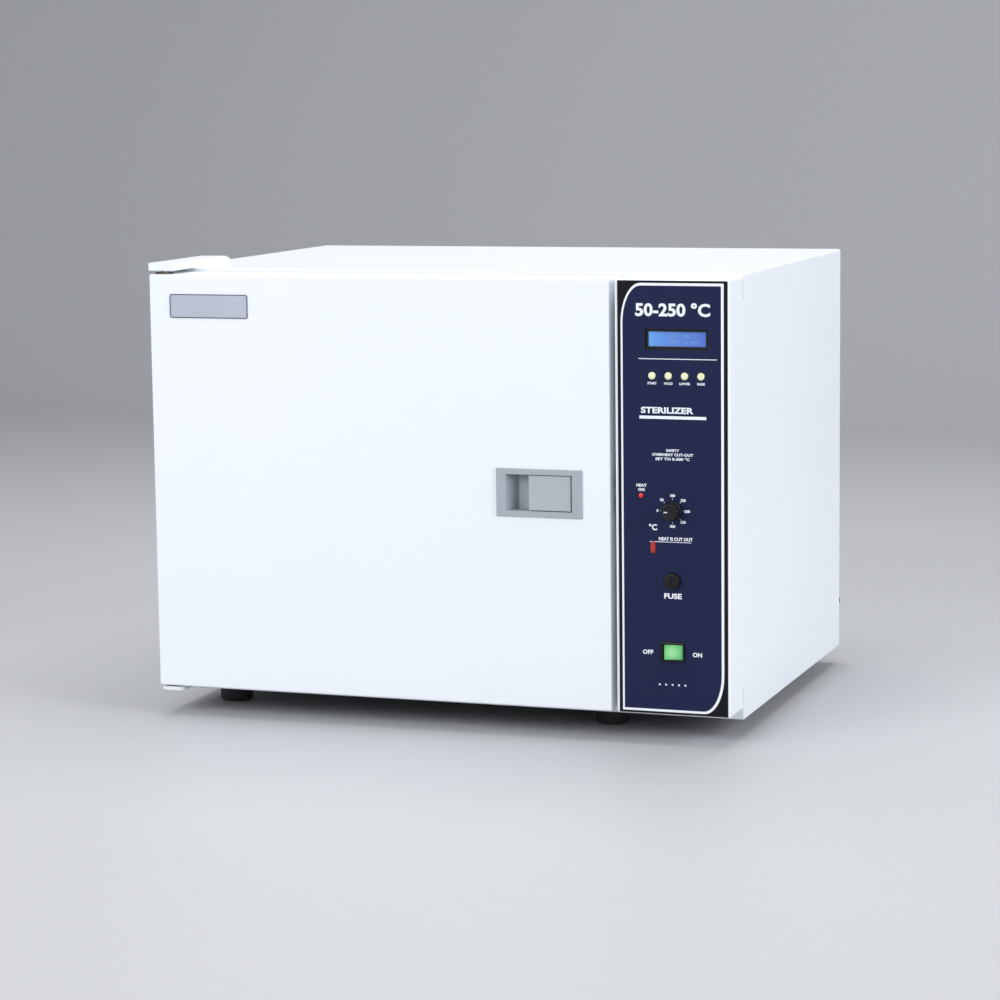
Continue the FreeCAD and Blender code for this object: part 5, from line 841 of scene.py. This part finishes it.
POINTER_FROM, POINTER_TO, POINTER_LOW, POINTER_THICK = 2.0, 7.6, 0.5, 0.12
knob_middle = middle("thermostat_knob")
half_long = (POINTER_TO - POINTER_FROM) / 2
pointer_place = (knob_middle.x - (POINTER_FROM + POINTER_TO) / 2 * MM, knob_low.y + POINTER_LOW * MM,
                 knob_middle.z)
pointer = boxy("knob_pointer", pointer_place,
               [(half_long, 0.55, 0.3, 0.0), (half_long, 0.5, 0.3, -POINTER_THICK)])
dress(pointer, FINISH["printed_white"], "limit_knob", "black_plastic")
print("knob radius", round(KNOB_R, 2), "mm,", len(knob.data.polygons), "faces")

# %% [markdown]
# The fuse cap is a shorter turned piece with a knurl of fine ribs and a screwdriver slot. The slot
# is modelled as what it looks like from outside: two half discs with a gap between, over a lower
# floor.

# %% The fuse cap
FUSE_R = half_size("fuse_cap")[0]
fuse_front, FUSE_DEEP = depths("fuse_cap")
FUSE_TALL = -fuse_front
RIBS, RIB_DEEP = 36, 0.28
turn = np.linspace(0, 2 * np.pi, 6 * RIBS, endpoint=False)[None, :]
fuse_rows = [(0.02, -FUSE_DEEP, 0), (4.0, -FUSE_DEEP, 0), (4.0, 0.3, 0), (FUSE_R - 0.3, 0.3, 0),
             (FUSE_R, 0.6, 0.4), (FUSE_R, 1.2, 1), (FUSE_R - 0.05, FUSE_TALL - 1.6, 1),
             (FUSE_R - 0.25, FUSE_TALL - 0.9, 0.7), (FUSE_R - 0.8, FUSE_TALL - 0.25, 0.2),
             (FUSE_R - 1.5, FUSE_TALL, 0), (5.2, FUSE_TALL, 0), (5.0, FUSE_TALL - 0.25, 0),
             (4.9, FUSE_TALL - 1.1, 0), (0.02, FUSE_TALL - 1.1, 0)]
radius, height, ribbed = (np.array(column)[:, None] for column in zip(*fuse_rows))
radius = radius - RIB_DEEP * ribbed * (0.5 + 0.5 * np.cos(RIBS * turn))
fuse = spun("fuse_cap_moulding", on_plane("fuse_cap"), radius, height, turn)
dress(fuse, FINISH["black_plastic"], "fuse_carrier", "black_plastic", "fuse_cap")
SLOT_HALF, GRIP_ACROSS, GRIP_UP = 0.8, 4.0, 4.7
half = np.linspace(-np.pi / 2, np.pi / 2, 25)
for side, name in ((1, "fuse_grip_right"), (-1, "fuse_grip_left")):
    x, z = side * (SLOT_HALF + GRIP_ACROSS * np.cos(half)), GRIP_UP * np.sin(half)
    rows = [np.stack([x, np.full_like(x, -depth), z], -1) for depth in (FUSE_TALL - 1.2, FUSE_TALL - 0.15)]
    rows.append(np.stack([x * 0.98 + side * 0.05, np.full_like(x, -FUSE_TALL), z * 0.97], -1))
    grip = grid_piece(name, np.array(rows) * MM + np.array(on_plane("fuse_cap")), lids=(True, True))
    dress(grip, FINISH["black_plastic"], "fuse_carrier", "black_plastic")

# %% [markdown]
# The rocker switch has a black moulded frame with rounded corners, whose body goes through the
# panel and holds the well, and a green lens that tips about a hidden pin. Across its width the
# lens is a shallow valley: two flat halves that meet at the pin. Its end walls are the lines that
# just miss the well when the lens tips: a point x from the pin's plane and h in front of the pin
# swings out to x cos a + h sin a, which must stay inside the well. The grid is a row of points
# across, repeated down the height, with its long edges rounded.

# %% The lit rocker
half_w, half_h = half_size("switch_frame")
switch_front, BODY_DEEP = depths("switch_frame")
reach = -switch_front
RIM, BODY_INSET, WELL_DEEP = 2.3, 1.6, 18.2
layers = [(half_w - BODY_INSET, half_h - BODY_INSET, 0.6, BODY_DEEP),
          (half_w - BODY_INSET, half_h - BODY_INSET, 0.6, 0.0),
          (half_w, half_h, 1.6, 0.0), (half_w, half_h, 1.6, -(reach - 0.8)),
          (half_w - 0.25, half_h - 0.25, 1.4, -(reach - 0.25)),
          (half_w - 0.8, half_h - 0.8, 1.0, -reach), (half_w - RIM + 0.3, half_h - RIM + 0.3, 0.6, -reach),
          (half_w - RIM, half_h - RIM, 0.5, -(reach - 0.3)), (half_w - RIM, half_h - RIM, 0.5, WELL_DEEP)]
bezel = boxy("switch_bezel", on_plane("switch_frame"), layers)
dress(bezel, FINISH["switch_plastic"], "root", "switch_plastic", "switch_frame")

PIVOT_BEHIND, LENS_RISE, LENS_BACK, DISH = 4.5, 7.1, 3.6, math.radians(10)
PIVOT = Vector(on_plane("switch_frame", FRONT + PIVOT_BEHIND * MM))
WELL_ROOM = half_w - RIM - 0.15
LENS_HALF = (WELL_ROOM - LENS_BACK * math.sin(DISH)) / math.cos(DISH)
lens_half = half_h - RIM - 0.3
NEAR_END = np.array([1, 0.995, 0.98, 0.955])
END_SAG = np.array([1.1, 0.62, 0.28, 0.08])
step = np.concatenate([np.linspace(0.03, 0.84, 9), [0.88, 0.90, 0.91, 0.92, 0.94, 0.97, 1.0]])
across = np.concatenate([-step[::-1], [0.0], step]) * LENS_HALF
edge = np.concatenate([-NEAR_END, np.linspace(-0.9, 0.9, 9), NEAR_END[::-1]])
sag = np.concatenate([END_SAG, np.zeros(9), END_SAG[::-1]])
flat_face = LENS_RISE + np.abs(across) * math.tan(DISH)
end_wall = (WELL_ROOM - np.abs(across) * math.cos(DISH)) / math.sin(DISH)
crown = np.minimum(flat_face, end_wall)
x = across[None, :] + 0 * sag[:, None]
y = -(crown[None, :] - sag[:, None])
z = lens_half * edge[:, None] + 0 * x
front = np.stack([x, y, z], -1)
back = np.stack([x, np.full_like(x, LENS_BACK), z], -1)
lens_points = np.concatenate([front, back[::-1]])
tilt = Matrix.Rotation(DISH, 3, "Z")
lens_points = lens_points @ np.array(tilt).T * MM + np.array(PIVOT)
lens = grid_piece("rocker_lens", lens_points.transpose(1, 0, 2), lids=(True, True))
dress(lens, FINISH["green_lens"], "power_rocker", "green_lens", "switch_rocker")
print("rocker is", round(2 * lens_half, 1), "mm tall")

# %% [markdown]
# The door seal is a silicone cord with a domed lip, in a channel of the inner pan. One small
# profile is carried round a rounded rectangle: each point of the profile is an offset of the ring
# and a depth, and a fuller dome than the construction model's rounds its face.

# %% The door seal
seal_low, seal_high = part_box("door_seal")
SEAL_WIDE, LIP_HIGH, SEAL_CORNER, LEAST_CORNER = 10.0, 2.6, 16.0, 5.0
half_w, half_h = half_size("door_seal")
side_deep = (seal_high.y - seal_low.y) / MM - LIP_HIGH
turn = np.linspace(0, np.pi, 13)
lip = [(0.0, 0.0), (0.0, side_deep)]
lip += [(SEAL_WIDE / 2 - SEAL_WIDE / 2 * math.cos(a), side_deep + LIP_HIGH * math.sin(a))
        for a in turn[1:-1]]
lip += [(SEAL_WIDE, side_deep), (SEAL_WIDE, 0.0)]
layers = [(half_w - inset, half_h - inset, max(SEAL_CORNER - inset, LEAST_CORNER), depth)
          for inset, depth in lip]
seal = boxy("seal_lip", on_plane("door_seal", seal_low.y), layers, hollow=True)
dress(seal, FINISH["seal_silicone"], "door", "seal_silicone", "door_seal")

# %% [markdown]
# What is left of the frame keeps its own shape, and takes its finish by its slot in the record.

# %% Finishes for the frame's own nodes
for row in frame["record"]["subparts"]:
    node = NODES[row["node"]]
    node.data.materials.clear()
    node.data.materials.append(FINISH[row["material_slot"]])

# %% [markdown]
# The studio is a pale sweep: floor, curve and wall in one sheet, so that there is no horizon. Its
# profile is a straight floor, a quarter circle and a straight wall, carried sideways.

# %% The studio sweep
SWEEP_BACK, SWEEP_FRONT, SWEEP_BEND, SWEEP_TALL, SWEEP_HALF = 2.6, -7.0, 1.4, 5.0, 7.0
turn = np.linspace(0, np.pi / 2, 25)
run_y = np.concatenate([[SWEEP_FRONT], SWEEP_BACK + SWEEP_BEND * np.sin(turn), [SWEEP_BACK + SWEEP_BEND]])
run_z = np.concatenate([[0.0], SWEEP_BEND - SWEEP_BEND * np.cos(turn), [SWEEP_TALL]])
side = np.linspace(-SWEEP_HALF, SWEEP_HALF, 3)
sweep_grid = np.stack(np.broadcast_arrays(side[None, :], run_y[:, None], run_z[:, None]), -1)
sweep = grid_piece("studio_sweep", sweep_grid, close_columns=False)
sweep_paint = finish("studio_paper", grain, tones((0.50, 0.505, 0.52), (0.48, 0.485, 0.50), (0.5, 0.6),
                                                  Grain=300.0), bump=0.02)
sweep.data.materials.append(sweep_paint)

# %% [markdown]
# Three soft boxes and a pale room: a large one over the front left for the door, a second high
# at the right for the side, and one overhead that makes the top the brightest face.

# %% Light
def soft_box(name, place, aim, size, power, colour=(1, 1, 1)):
    """A square area light that looks from its place to its aim."""
    light = bpy.data.lights.new(name, "AREA")
    light.shape = "RECTANGLE"
    light.size, light.size_y = size
    light.energy = power
    light.color = colour
    lamp = bpy.data.objects.new(name, light)
    bpy.context.scene.collection.objects.link(lamp)
    lamp.location = place
    lamp.rotation_euler = (Vector(aim) - Vector(place)).to_track_quat("-Z", "Y").to_euler()
    return lamp


AIM = (0, 0, 0.26)
soft_box("front_box", (-1.4, -3.2, 1.9), AIM, (2.4, 1.6), 72)
soft_box("right_box", (3.2, -0.9, 1.5), AIM, (2.0, 1.6), 68, (0.96, 0.98, 1.0))
soft_box("top_box", (0.0, 0.3, 2.6), AIM, (2.4, 2.4), 52)
world = bpy.data.worlds.new("pale_room")
world.use_nodes = True
world.node_tree.nodes["Background"].inputs["Color"].default_value = rgb(0.84, 0.87, 0.92)
world.node_tree.nodes["Background"].inputs["Strength"].default_value = 0.48
bpy.context.scene.world = world
bpy.context.scene.view_settings.view_transform = "Standard"
